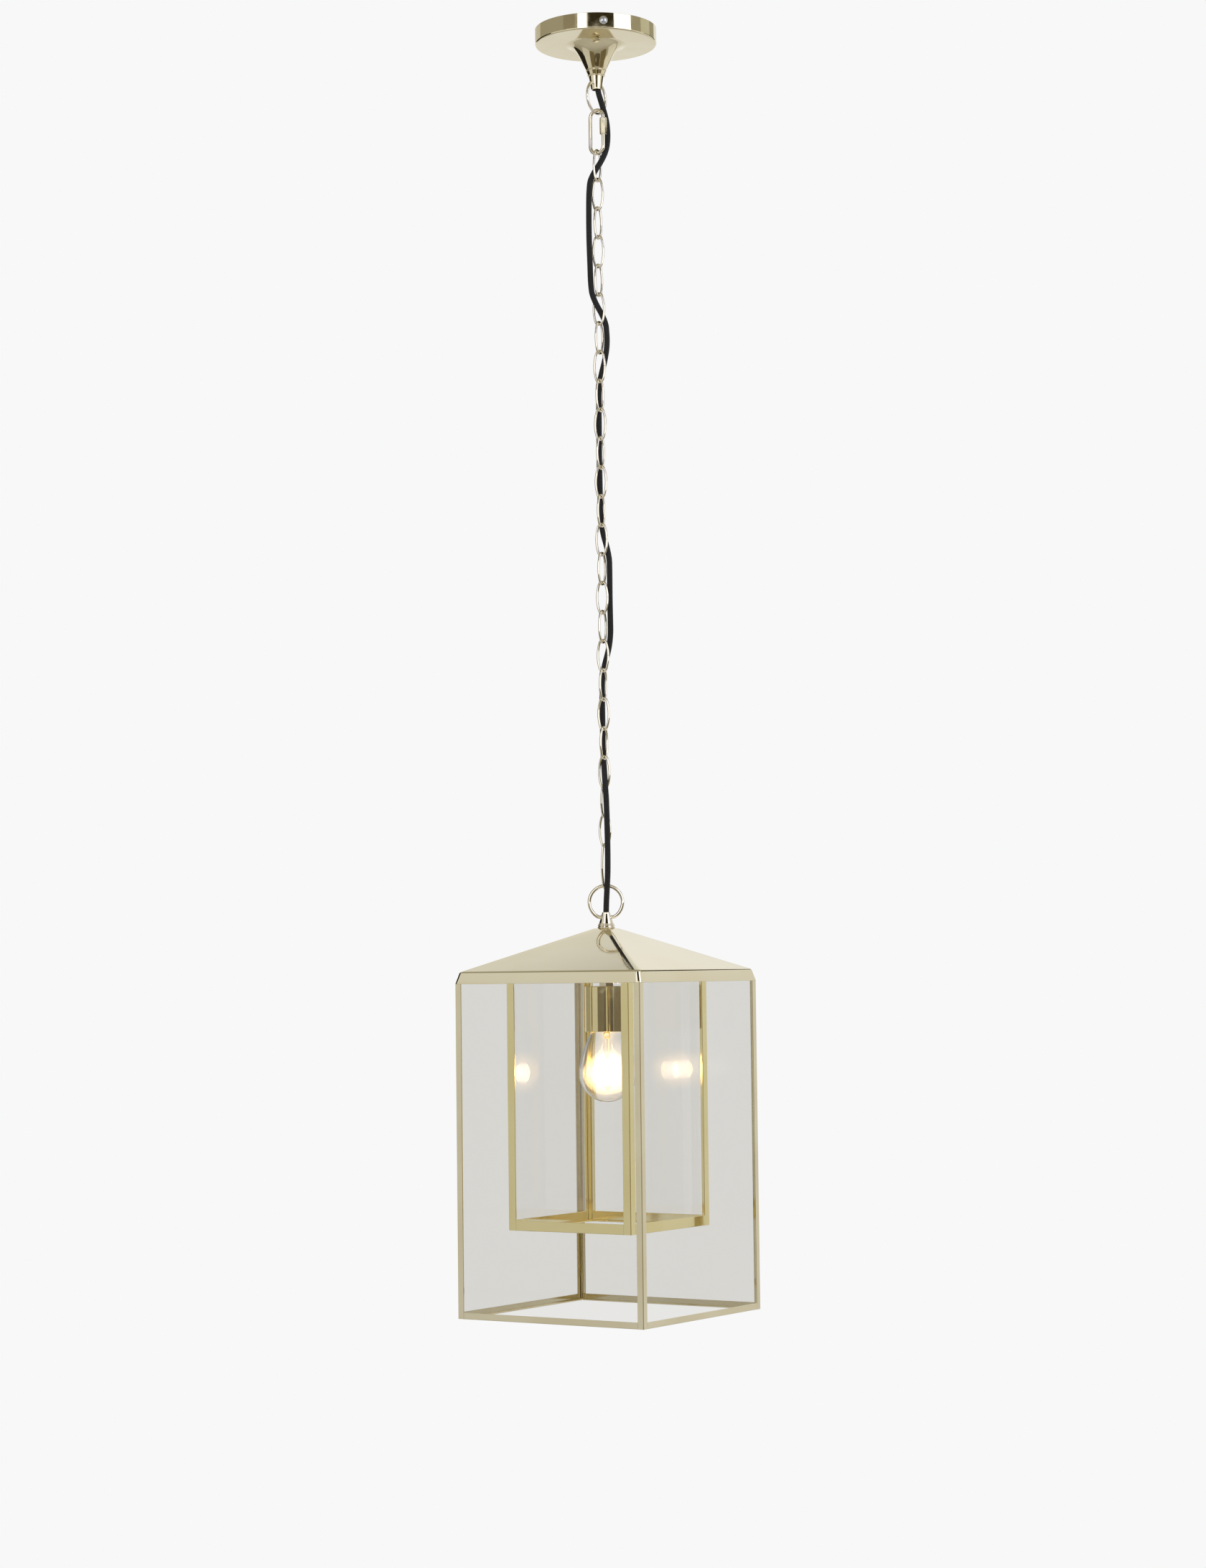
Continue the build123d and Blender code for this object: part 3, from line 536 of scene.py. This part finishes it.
def plated(name, tone, deep, rough):
    """Zinc-plated or stamped metal with a fine grain."""
    paint = Paint(name)
    place = paint.place()
    grain = paint.noise(place, scale=900, detail=3)
    cloud = paint.noise(place, scale=90)
    return paint.shade(
        base_color=paint.mix(cloud, tone, deep),
        metallic=1.0,
        roughness=grain * 0.2 + rough,
        normal=paint.bump(grain, strength=0.1, distance=0.0002),
    )


def moulded(name, tone, deep, rough, scale=260):
    """Moulded or glazed body with a slight mottle."""
    paint = Paint(name)
    mottle = paint.noise(paint.place(), scale, detail=3)
    return paint.shade(
        base_color=paint.mix(mottle.between(0.3, 0.7), tone, deep),
        roughness=mottle * 0.15 + rough,
        normal=paint.bump(mottle, strength=0.08, distance=0.0003),
    )


def glazing(name, tint, deep, ior=1.46):
    """Clear glass that lets lamps and mirrored rays through, with a tint that drifts a little."""
    paint = Paint(name)
    cloud = paint.noise(paint.place(), scale=9)
    tone = paint.mix(cloud, tint, deep)
    paint.shade(base_color=tone, transmission_weight=1.0, roughness=0.0, ior=ior)
    through = paint.node("ShaderNodeBsdfTransparent", None, {"Color": (0.98, 0.98, 0.975, 1.0)})
    return paint.swapped(("Shadow", "Reflection"), through)


def braided(name):
    """Braided textile sleeve: two sets of strands cross at an angle and pass over each other in turn."""
    paint = Paint(name)
    uv = paint.node("ShaderNodeUVMap", {"uv_map": "Braid"})
    round_, along = paint.axis(uv, "X"), paint.axis(uv, "Y")
    right = ((round_ * BRAID_STRANDS + along * BRAID_STRANDS) * (2 * pi)).sine()
    left = ((round_ * BRAID_STRANDS - along * BRAID_STRANDS) * (2 * pi)).sine()
    over = right.largest(left) * 0.5 + 0.5
    fuzz = paint.noise(paint.place(), scale=1500, detail=4)
    lump = paint.noise(paint.place(), scale=110)
    # Lighter where a strand lies over and darker in the hollows between strands: painted shade, mottled by
    # the fibre fuzz
    tone = paint.mix(over * fuzz, (0.006, 0.006, 0.006), (0.03, 0.028, 0.027))
    return paint.shade(
        base_color=tone,
        roughness=0.95 - over * 0.15,
        normal=paint.bump(over * 0.6 + fuzz * 0.5 + lump * 1.5, strength=0.6, distance=0.0006),
        sheen_weight=0.15,
    )


def glowing(name, edge, core, strength, half_height, cover=1.0):
    """Lit piece that is hottest at its middle height, and lets light through where cover is low."""
    paint = Paint(name)
    z = paint.axis(paint.place(), "Z")
    off = ((z - BULB_CENTRE * MM) * (1 / half_height)) ** 2
    paint.shade(
        base_color=(1.0, 0.9, 0.75),
        emission_color=paint.mix(off.between(0.0, 1.0), core, edge),
        emission_strength=strength,
        alpha=cover,
    )
    return paint.material


BRASS_TONE, BRASS_DEEP = (0.83, 0.75, 0.525), (0.78, 0.69, 0.465)
finish = {
    "brass": polished("polished_brass", BRASS_TONE, BRASS_DEEP),
    # Brighter, warmer copy of the brass for the inner frame and cup: painted warm light from the lamp inside
    "inner_brass": polished("inner_brass", (1.0, 0.88, 0.49), (0.97, 0.84, 0.44)),
    "roof": polished("rolled_brass_roof", (0.83, 0.76, 0.55), (0.80, 0.72, 0.50), (0.05, 0.11), 9, 60),
    # Paler copy of the brass for the rings, quick link, sleeve nut, links and finial: painted highlight,
    # standing for their bright reflections
    "chain": polished("chain_brass", (0.93, 0.88, 0.76), (0.88, 0.81, 0.64), (0.03, 0.08), 40, 500),
    "contact_brass": plated("stamped_brass", (0.78, 0.68, 0.45), (0.72, 0.6, 0.36), 0.18),
    "zinc_steel": plated("zinc_plate", (0.74, 0.75, 0.76), (0.6, 0.61, 0.62), 0.16),
    # Grey tint of the outer panes: partly the glass's own tint and mostly painted shade that dims all seen
    # through them
    "outer_glass": glazing("outer_glass", (0.855, 0.85, 0.83), (0.845, 0.84, 0.82), 1.08),
    "inner_glass": glazing("inner_glass", (0.998, 0.997, 0.994), (0.99, 0.989, 0.987)),
    "bulb_glass": glazing("bulb_glass", (0.995, 0.99, 0.98), (0.985, 0.98, 0.97)),
    "ceramic": moulded("glazed_ceramic", (0.86, 0.84, 0.79), (0.8, 0.78, 0.73), 0.18),
    "block_plastic": moulded("terminal_plastic", (0.82, 0.81, 0.76), (0.74, 0.73, 0.68), 0.4),
    "grip_plastic": moulded("grip_plastic", (0.05, 0.05, 0.05), (0.03, 0.03, 0.03), 0.4),
    "lead_plastic": moulded("lead_plastic", (0.32, 0.16, 0.07), (0.22, 0.11, 0.05), 0.35),
    "cap_tip": moulded("cap_glass", (0.05, 0.045, 0.06), (0.03, 0.03, 0.035), 0.12),
    "cord_fabric": braided("braided_cord"),
    "capsule": glowing("lit_capsule", (0.02, 0.012, 0.005), (1.0, 0.93, 0.8), 9.0, 0.013),
    "filament": glowing("lit_filament", (0.03, 0.024, 0.014), (1.0, 0.9, 0.7), 12.0, 0.014),
}


def dress(slot, *names):
    """Gives CAD nodes that keep their shape a finish."""
    for name in names:
        nodes[name].data.materials.clear()
        nodes[name].data.materials.append(finish[slot])


def make_rose():
    """Spun pan of the rose and the trumpet under it."""
    hole, inside, floor = STEM_R + GAP, ROSE_R - SPUN_WALL, SPUN_WALL - ROSE_H
    pan = eased(
        [(ROSE_R, 0), (ROSE_R, -ROSE_H), (hole, -ROSE_H), (hole, floor), (inside, floor), (inside, 0)],
        [0.3, ROSE_EASE, 0.2, 0.2, ROSE_EASE - SPUN_WALL, 0.3],
        SPUN_STEPS,
    )
    piece("spun_rose", [turned(pan, turns=160)], finish["brass"], "ceiling", ["ceiling_rose"])

    rim, neck = np.array([TRUMPET_R, -ROSE_H]), np.array([NECK_R, NECK_Z])
    hollow = neck + np.array(HOLLOW_FROM_NECK)
    outline = np.vstack(
        [
            bezier([rim, rim + FLARE_FROM_RIM, neck + FLARE_FROM_NECK, neck], 48)[:-2],
            circle_arc(neck, BEAD_R, 75, -75, 9),
            circle_arc((LOW_BEAD_R, NOZZLE_TOP), BEAD_R, 75, -80, 9),
            line((NOZZLE_TOP_R, NOZZLE_TOP - BEAD_FOOT), (NOZZLE_END_R, NOZZLE_END + LIP_FOOT), 6),
            circle_arc((NOZZLE_END_R - LIP_R, NOZZLE_END + LIP_R), LIP_R, 0, -90, 5),
            [(NOZZLE_BORE_R, NOZZLE_END), (NOZZLE_BORE_R, NOZZLE_TOP)],
            hollow,
            [(BORE_R, hollow[-1, 1]), (BORE_R, STEM_TOP), (STEM_R, STEM_TOP), (STEM_R, -ROSE_H)],
        ]
    )
    piece("spun_trumpet", [turned(outline)], finish["brass"], "ceiling", ["trumpet"])


def ring_path(pin_z, pin_in, pin_out, yaw, up):
    """Pins turned in, two shoulder arcs and the ring's own arc, in one upright plane."""
    a = np.degrees(asin(pin_out / (RING_R - RING_SHOULDER_R)))
    drop = RING_SHOULDER_R * (1 - cos(radians(a)))
    centre = drop + RING_R * cos(radians(a))
    half = np.vstack(
        [
            line((pin_in, 0), (pin_out, 0), 5)[:-1],
            circle_arc((pin_out, RING_SHOULDER_R), RING_SHOULDER_R, -90, a - 90, 10)[:-1],
            circle_arc((0, centre), RING_R, a - 90, 90, 60),
        ]
    )
    flat = np.vstack([half, half[-2::-1] * (-1, 1)])
    return upright(flat * (1, up), yaw, pin_z)


def link_path(half_l, middle_z, yaw):
    """Four tangent arcs of a bent-wire link, from its seam in the middle of one leg round to the seam."""
    end_up = half_l - LINK_END_R
    side_r = (LINK_HALF_W**2 - LINK_END_R**2 + end_up**2) / (2 * (LINK_HALF_W - LINK_END_R))
    side_in = side_r - LINK_HALF_W
    meet = np.degrees(atan2(end_up, side_in))
    seam = np.degrees(LINK_SEAM / 2 / side_r)
    flat = np.vstack(
        [
            circle_arc((-side_in, 0), side_r, seam, meet, 14)[:-1],
            circle_arc((0, end_up), LINK_END_R, meet, 180 - meet, 22)[:-1],
            circle_arc((side_in, 0), side_r, 180 - meet, 180 + meet, 26)[:-1],
            circle_arc((0, -end_up), LINK_END_R, 180 + meet, 360 - meet, 22)[:-1],
            circle_arc((-side_in, 0), side_r, -meet, -seam, 14),
        ]
    )
    return upright(flat, yaw, middle_z)


def side_of(yaw):
    """Vector square to the upright plane turned by yaw degrees."""
    return (-sin(radians(yaw)), cos(radians(yaw)), 0)


def sleeve_skin(top):
    """Hexagon sleeve nut on the right leg of the quick link, from its top down.

    The hexagon's radius is half its width across flats over the cosine of the angle from the nearest flat,
    held inside a cone that widens from each end.
    """
    run = np.linspace(0, SLEEVE_CHAMFER, 7)
    legs = np.linspace(SLEEVE_CHAMFER, SLEEVE_L - SLEEVE_CHAMFER, 3)[1:-1]
    z = np.concatenate([run, legs, SLEEVE_L - run[::-1]])
    a = np.radians(np.linspace(0, 360, 121))
    half = SLEEVE_AF / 2
    hexagon = half / np.cos((a + radians(30)) % radians(60) - radians(30))
    cone = half - CHAMFER_FOOT + np.minimum(z, SLEEVE_L - z)[:, None] * CHAMFER_SLOPE
    bore = np.full_like(a, QUICK_WIRE / 2 + GAP)[None]
    r = np.vstack([bore, np.minimum(hexagon[None], cone), bore, bore])
    z = np.concatenate([z[:1], z, z[-1:], z[:1]])[:, None]
    x = QUICK_HALF_W + r * np.cos(a)
    return Skin(np.stack([x, r * np.sin(a), np.broadcast_to(top - SLEEVE_L + z, r.shape)], 2))


def link_skin(n, half_l):
    """Link n from the top, hooked into the one above it and turned a quarter from it."""
    yaw = 0 if n % 2 else 90
    middle = CHAIN_TOP - LINK_PITCH * n + (GAP + LINK_WIRE) / 2 - half_l
    return wire(link_path(half_l, middle, yaw), side_of(yaw), LINK_WIRE / 2, LINK_AROUND)


def make_chain():
    """Rings, quick link with its sleeve nut, and the links."""
    for name, pin_z, pin_in, pin_out, yaw, up, thick in RINGS:
        path = ring_path(pin_z, pin_in, pin_out, yaw, up)
        skin = wire(path, side_of(yaw), thick / 2, WIRE_AROUND)
        piece(f"bent_{name}", [skin], finish["chain"], name, [name])

    bend = (QUICK_TOP - QUICK_LOW) / 2 - QUICK_HALF_W
    stub = bend - QUICK_STUB
    flat = np.vstack(
        [
            line((QUICK_HALF_W, stub), (QUICK_HALF_W, bend), 3)[:-1],
            circle_arc((0, bend), QUICK_HALF_W, 0, 180, 40)[:-1],
            line((-QUICK_HALF_W, bend), (-QUICK_HALF_W, -bend), 8)[:-1],
            circle_arc((0, -bend), QUICK_HALF_W, 180, 360, 40)[:-1],
            line((QUICK_HALF_W, -bend), (QUICK_HALF_W, stub - QUICK_OPENING), 8),
        ]
    )
    middle = (QUICK_TOP + QUICK_LOW) / 2
    skin = wire(upright(flat, 0, middle), side_of(0), QUICK_WIRE / 2, WIRE_AROUND)
    piece("bent_quick_link", [skin], finish["chain"], "quick_link", ["quick_link"])
    nut = sleeve_skin(middle + bend - SLEEVE_DROP)
    piece("sleeve_nut", [nut], finish["chain"], "sleeve", ["quick_link_sleeve"], crease=25)

    for stretch in range(CHAIN_STRETCHES):
        first = stretch * LINKS_PER_STRETCH
        last = min(first + LINKS_PER_STRETCH, LINK_COUNT)
        name = f"chain_{stretch + 1}"
        skins = [link_skin(n, LINK_HALF_L) for n in range(first, last)]
        piece(f"bent_{name}", skins, finish["chain"], name, [name])
    end = link_skin(LINK_COUNT, END_LINK_HALF_L)
    piece("bent_end_link", [end], finish["chain"], "chain_5", ["end_link"])


def roof_corner(half):
    """Corner radius of the roof, which grows with its half width and always fits in it."""
    grown = np.clip(CORNER_R + (half - CORNER_AT) * CORNER_GROWTH, *CORNER_LIMITS)
    return grown.clip(max=half * CORNER_SHARE)


def make_roof():
    """Finial, and the roof with its band."""
    beads = [circle_arc((out, ROOF_TOP + up), r, turn, -turn, n) for out, up, r, turn, n in FINIAL_BEADS]
    foot, socket = FINIAL_BEADS[-1][0], ROOF_TOP + TUBE_SOCKET
    outline = np.vstack(
        [
            [(BORE_R, ROOF_TOP + FINIAL_H)],
            circle_arc((FINIAL_LIP, ROOF_TOP + FINIAL_H - LIP_R), LIP_R, 90, 15, 4),
            line(*(np.array(FINIAL_CONE) + (0, ROOF_TOP)), 8),
            *beads,
            [(foot, ROOF_TOP), (TUBE_HOLE_R, ROOF_TOP), (TUBE_HOLE_R, socket), (BORE_R, socket)],
        ]
    )
    piece("spun_finial", [turned(outline, turns=72)], finish["chain"], "lantern", ["finial"])

    profile = eased(
        [
            (RIM_HALF, RIM_Z), (CREASE_HALF, RIM_Z + RIM_H), (ROOF_TOP_HALF, ROOF_TOP),
            (TUBE_HOLE_R, ROOF_TOP), (TUBE_HOLE_R, ROOF_TOP - SHEET),
            (ROOF_TOP_HALF - SHEET, ROOF_TOP - SHEET), (CREASE_HALF - SHEET, RIM_Z + RIM_H - SHEET),
            (RIM_HALF - SHEET, RIM_Z),
        ],
        [0.4, 3.2, 2.0, 0.2, 0.2, 1.0, 2.0, 0.4],
        9,
    )
    skin = square_loft(np.vstack([profile, profile[:1]]), roof_corner)
    piece("folded_roof", [skin], finish["roof"], "lantern", ["roof"], crease=40)


def angle_outline(half, leg):
    """Section of an angle upright in the +X +Y corner, with eased edges."""
    inner, low = half - SHEET, half - leg
    corners = [(half, half), (low, half), (low, inner), (inner, inner), (inner, low), (half, low)]
    return eased(corners, [0.7, 0.3, 0.3, 0.2, 0.3, 0.3], 5)


def rail_skin(half, leg, height, rail_h):
    """Bottom rail on the +Y side: an angle section (y, z) carried along X between the uprights."""
    low = RIM_Z - height
    corners = [
        (half, low), (half, low + rail_h), (half - SHEET, low + rail_h), (half - SHEET, low + SHEET),
        (half - rail_h, low + SHEET), (half - rail_h, low),
    ]
    bar = drawn(eased(corners, [0.6, 0.3, 0.3, 0.2, 0.3, 0.3], 5), leg - half, half - leg)
    return bar._replace(points=bar.points[:, :, [2, 0, 1]])


def make_frames():
    """Uprights and bottom rails of both frames."""
    turns = {"back_right": 0, "back_left": 90, "front_left": 180, "front_right": 270}
    for frame_name, metal, half, leg, height, rail_h in (
        ("outer", finish["brass"], OUTER_HALF, OUTER_LEG, OUTER_H, OUTER_RAIL_H),
        ("inner", finish["inner_brass"], INNER_HALF, INNER_LEG, INNER_H, INNER_RAIL_H),
    ):
        post = drawn(angle_outline(half, leg), RIM_Z - height, RIM_Z)
        for corner, yaw in turns.items():
            node = f"{frame_name}_post_{corner}"
            piece(f"folded_{node}", [swung(post, yaw)], metal, "lantern", [node], crease=FOLD_CREASE)
        rail = rail_skin(half, leg, height, rail_h)
        rails = [swung(rail, yaw) for yaw in turns.values()]
        node = f"{frame_name}_bottom_rails"
        piece(f"folded_{node}", rails, metal, "lantern", [node], crease=FOLD_CREASE)


def bulb_outline(inset):
    """Half outline of the bulb's glass, set in by inset: ball, shoulder, neck and seal."""
    ball, shoulder, neck = (r - inset for r in (BULB_R, BULB_SHOULDER_R, BULB_NECK_R))
    widest, bent = np.array([ball, BULB_CENTRE]), np.array([shoulder, BULB_SHOULDER_Z])
    held = (neck, BULB_NECK_END)
    return np.vstack(
        [
            circle_arc((0, BULB_CENTRE), ball, -90, 0, 40)[:-1],
            bezier([widest, widest + (0, BALL_RISE), bent + SHOULDER_OUT, bent], 28)[:-1],
            bezier([bent, bent + SHOULDER_IN, (neck, CAP_LOW - NECK_DROP), held], 12)[:-1],
            line(held, (neck, BULB_SEAL), 3),
        ]
    )


def make_lamp():
    """Lampholder cup and the lit bulb."""
    low, inside = CUP_TOP - CUP_H, CUP_R - SPUN_WALL
    cup = eased(
        [
            (TUBE_HOLE_R, CUP_TOP), (CUP_R, CUP_TOP), (CUP_R, low), (inside, low), (inside, CUP_TOP - SHEET),
            (TUBE_HOLE_R, CUP_TOP - SHEET),
        ],
        [0.2, 0.7, 0.4, 0.4, 0.4, 0.2],
        SPUN_STEPS,
    )
    piece("spun_cup", [turned(cup)], finish["inner_brass"], "lantern", ["lampholder_cup"])

    glass = turned(np.vstack([bulb_outline(0), bulb_outline(BULB_WALL)[::-1]]), closed=False)
    clear = finish["bulb_glass"]
    piece("blown_bulb", [glass], clear, "bulb", ["bulb_glass"], crease=GLASS_CREASE)

    low, top = BULB_CENTRE - CAPSULE_L / 2, BULB_CENTRE + CAPSULE_L / 2
    outline = np.vstack(
        [
            np.array(CAPSULE_TIP) + (0, low),
            circle_arc((0, low + CAPSULE_R), CAPSULE_R, -CAPSULE_TURN, 0, 10),
            circle_arc((0, top - CAPSULE_R), CAPSULE_R, 0, CAPSULE_TURN, 10),
            np.array(CAPSULE_PINCH) + (0, top),
        ]
    )
    capsule = turned(outline, closed=False, turns=48)
    lit = piece("lit_capsule", [capsule], finish["capsule"], "bulb", ["bulb_capsule"])
    lit.visible_shadow = False
    stem = turned(np.array(STEM_PROFILE) + (0, BULB_SEAL - BULB_WALL), closed=False, turns=48)
    piece("glass_stem", [stem], clear, "bulb", (), crease=GLASS_CREASE)


def make_glow():
    """Painted glow round the capsule: glowing closed ellipsoids (r cos a, h sin a), one inside the other."""
    a = np.radians(np.linspace(-90, 90, 25))
    edges, cores = (line(*ends, len(GLOW_SHELLS)) for ends in (GLOW_EDGE, GLOW_CORE))
    for n, (r, h, strength) in enumerate(GLOW_SHELLS):
        name = f"lamp_haze_{n + 1}"
        outline = np.stack([r * np.cos(a), BULB_CENTRE + h * np.sin(a)], 1)
        haze = glowing(name, tuple(edges[n]), tuple(cores[n]), strength / GLOW_COVER, h * MM, GLOW_COVER)
        shell = turned(outline, closed=False, turns=40)
        made = piece(name, [shell], haze, "bulb", (), crease=90)
        made.visible_shadow = False


def make_cords():
    """Each stretch is a tube along points read from its NURBS route."""
    for name, (route, length, above, below, start_z, end_z) in CORD_ROUTE.items():
        curve = bpy.data.curves.new(f"{name}_route", "CURVE")
        curve.dimensions = "3D"
        curve.resolution_u = CORD_STEPS
        spline = curve.splines.new("NURBS")
        spline.points.add(len(route) - 1)
        for point, place in zip(spline.points, route):
            point.co = (*(Vector(place) * MM), 1.0)
        spline.order_u = 3
        spline.use_endpoint_u = True
        holder = bpy.data.objects.new(f"{name}_route", curve)
        scene.collection.objects.link(holder)
        bpy.context.view_layer.update()
        read = bpy.data.meshes.new_from_object(holder.evaluated_get(bpy.context.evaluated_depsgraph_get()))
        path = np.array([v.co for v in read.vertices]) / MM
        bpy.data.objects.remove(holder)
        bpy.data.meshes.remove(read)
        skin = wire(path, (1, 0, 0), CORD_D / 2, CORD_AROUND, braid=True)
        made = piece(f"braided_{name}", [skin], finish["cord_fabric"], None, [name], crease=60)
        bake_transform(made)


make_rose()
make_chain()
make_roof()
make_frames()
make_lamp()
make_glow()
make_cords()
dress("zinc_steel", "ceiling_bracket", "rose_screws", "trumpet_nut", "threaded_tube")
dress("brass", "ceiling_plate", "roof_nut", "tube_nuts")
for part in ("outer", "inner"):
    dress(f"{part}_glass", *(f"{part}_pane_{side}" for side in ("back", "left", "front", "right")))
dress("contact_brass", "lampholder_contacts", "bulb_cap")
dress("cap_tip", "bulb_cap_tip")
dress("ceramic", "lampholder_insert")
dress("block_plastic", "terminal_block")
dress("grip_plastic", "cord_grip")
dress("lead_plastic", "supply_leads", "lamp_leads")
dress("filament", "bulb_filament")

# Studio: pale surround that the camera sees, dimmer light that falls on the object, and the lamp's own light
PALE = (0.938, 0.938, 0.938)
STUDIO = (0.37, 0.37 * 0.95, 0.37 * 0.76)
FLOOR_Z = -2.35
FLOOR_REACH = 9.0
FLOOR_TONES = (0.84, 0.84, 0.84), (0.86, 0.86, 0.86)
LAMP_COLOUR = (1.0, 0.74, 0.42)
LAMP_POWER = 1.6
LAMP_R = 0.012

# Cards that the metal mirrors: degrees to the right of the camera, distance, width, lowest and highest edge,
# level at each edge, and tint
WHITE, COOL, PEARL = (1.0, 1.0, 1.0), (0.97, 1.0, 1.25), (1.0, 0.97, 0.9)
BROWN, DIM = (1.0, 0.8, 0.42), (1.0, 0.9, 0.68)
CARDS = {
    "dark_high_card": (10, 2.6, 2.3, (0.62, 1.7), (0.03, 0.03), BROWN),
    "dark_low_card": (10, 2.6, 2.3, (-2.2, -0.97), (0.09, 0.09), BROWN),
    "dark_nozzle_card": (5, 0.25, 0.14, (-0.1, -0.056), (0.06, 0.06), BROWN),
    "cup_right_card": (58, 2.4, 1.8, (-2.2, -0.97), (0.17, 0.17), BROWN),
    "cup_left_card": (-31, 2.4, 1.45, (-2.2, -0.97), (0.17, 0.17), BROWN),
    "body_front_card": (0, 2.55, 0.34, (-1.8, -0.97), (0.6, 0.6), (1.0, 0.93, 0.75)),
    "right_white_card": (52, 2.4, 1.5, (-0.97, 1.5), (1.6, 1.7), COOL),
    "left_white_card": (-25, 2.4, 0.75, (-0.97, 1.1), (1.6, 1.7), COOL),
    "chain_front_card": (8, 2.65, 3.2, (-0.97, 0.62), (1.0, 1.0), PEARL),
    "chain_left_card": (-45, 2.1, 0.8, (-0.97, 0.42), (1.0, 1.0), PEARL),
    "chain_left_low_card": (-78, 2.1, 1.1, (-0.97, -0.32), (0.7, 0.7), PEARL),
    "chain_right_card": (84, 2.1, 1.1, (-0.97, 0.42), (0.8, 0.8), PEARL),
    "chain_right_edge_card": (122, 2.05, 1.66, (-0.16, 0.42), (0.02, 0.02), DIM),
    "chain_left_edge_card": (-117, 2.05, 2.56, (-0.97, 0.42), (0.02, 0.02), DIM),
    "left_high_card": (-51, 2.4, 1.02, (0.45, 1.6), (0.29, 0.29), DIM),
    "left_edge_card": (-152, 2.9, 2.4, (0.45, 1.0), (0.6, 0.6), (1.0, 0.97, 0.85)),
    "right_high_card": (108, 2.4, 1.2, (0.45, 1.6), (0.58, 0.58), (1.0, 1.0, 0.85)),
    "left_card": (-74, 2.2, 1.9, (-2.1, 0.35), (0.6, 0.74), WHITE),
    "right_back_card": (115, 2.2, 1.9, (-2.1, 0.35), (0.68, 0.82), WHITE),
    "back_low_card": (180, 3.0, 4.6, (-2.3, 0.6), (0.66, 0.92), WHITE),
    "back_high_card": (180, 3.01, 4.6, (0.6, 2.2), (0.92, 0.5), WHITE),
}


def shine_paint(name, low_z, high_z, low, high, tint):
    """Card that glows evenly across and drifts from low to high level with height."""
    paint = Paint(name)
    z = paint.axis(paint.place(), "Z")
    colours = [tuple(level * share for share in tint) for level in (low, high)]
    colour = paint.mix(z.between(low_z, high_z), *colours)
    return paint.cast(paint.node("ShaderNodeEmission", None, {"Color": colour, "Strength": 1.0}))


def stage_face(name, corners, material):
    """One flat face of the studio."""
    mesh = bpy.data.meshes.new(name)
    mesh.from_pydata([tuple(map(float, corner)) for corner in corners], [], [(0, 1, 2, 3)])
    mesh.materials.append(material)
    made = bpy.data.objects.new(name, mesh)
    scene.collection.objects.link(made)
    return made


def card(name, angle, distance, width, z_range, levels, tint):
    """Upright card, angle degrees to the right of the camera as seen from the lantern, facing the lantern."""
    a = radians(angle + CAMERA_AZIMUTH)
    out = np.array([sin(a), -cos(a)]) * distance
    side = np.array([cos(a), sin(a)]) * width / 2
    low, high = z_range
    corners = [(*(out - side), low), (*(out + side), low), (*(out + side), high), (*(out - side), high)]
    made = stage_face(name, corners, shine_paint(name, low, high, *levels, tint))
    made.visible_camera = False
    made.visible_transmission = False
    made.visible_shadow = False


def make_studio():
    """Pale surround and floor, cards, and the lamp's light."""
    seen = ("Camera", "Transmission")
    surround = Paint("pale_surround", world=True)
    surround.shade(color=STUDIO)
    scene.world = surround.swapped(seen, surround.node("ShaderNodeBackground", None, {"Color": (*PALE, 1.0)}))

    paint = Paint("pale_floor")
    mottle = paint.noise(paint.place(), scale=3)
    paint.shade(base_color=paint.mix(mottle, *FLOOR_TONES), roughness=0.9)
    glow = paint.node("ShaderNodeEmission", None, {"Color": (*PALE, 1.0), "Strength": 1.0})
    corners = [(x * FLOOR_REACH, y * FLOOR_REACH, FLOOR_Z) for x, y in ((-1, -1), (1, -1), (1, 1), (-1, 1))]
    stage_face("floor", corners, paint.swapped(seen, glow))

    for name, row in CARDS.items():
        card(name, *row)

    lamp = bpy.data.lights.new("lamp_light", "POINT")
    lamp.color = LAMP_COLOUR
    lamp.energy = LAMP_POWER
    lamp.shadow_soft_size = LAMP_R
    light = bpy.data.objects.new("lamp_light", lamp)
    light.location = (0, 0, BULB_CENTRE * MM)
    scene.collection.objects.link(light)
    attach(light, "bulb")


def make_camera():
    """Camera at the photograph's place: forward from azimuth, yaw and pitch, then rolled."""
    az, yaw, pitch, roll = (radians(v) for v in (CAMERA_AZIMUTH, CAMERA_YAW, CAMERA_PITCH, CAMERA_ROLL))
    ahead = Vector((-sin(az), cos(az), 0))
    right = Vector((cos(az), sin(az), 0))
    view = ahead * cos(yaw) * cos(pitch) + right * sin(yaw) * cos(pitch) + Vector((0, 0, sin(pitch)))
    side = view.cross(Vector((0, 0, 1))).normalized()
    up = side.cross(view)
    side, up = side * cos(roll) + up * sin(roll), up * cos(roll) - side * sin(roll)
    data = bpy.data.cameras.new("camera")
    data.lens = FOCAL_PX * SENSOR_MM / IMAGE_H_PX
    data.sensor_width = SENSOR_MM
    data.clip_end = CAMERA_REACH
    made = bpy.data.objects.new("camera", data)
    made.matrix_world = Matrix((side, up, -view)).transposed().to_4x4()
    made.location = (CAMERA_DISTANCE * sin(az), -CAMERA_DISTANCE * cos(az), CAMERA_HEIGHT)
    scene.collection.objects.link(made)
    scene.camera = made


make_studio()
make_camera()
scene.view_settings.view_transform = "Standard"
scene.cycles.max_bounces = 24
scene.cycles.transmission_bounces = 24
scene.cycles.transparent_max_bounces = 64
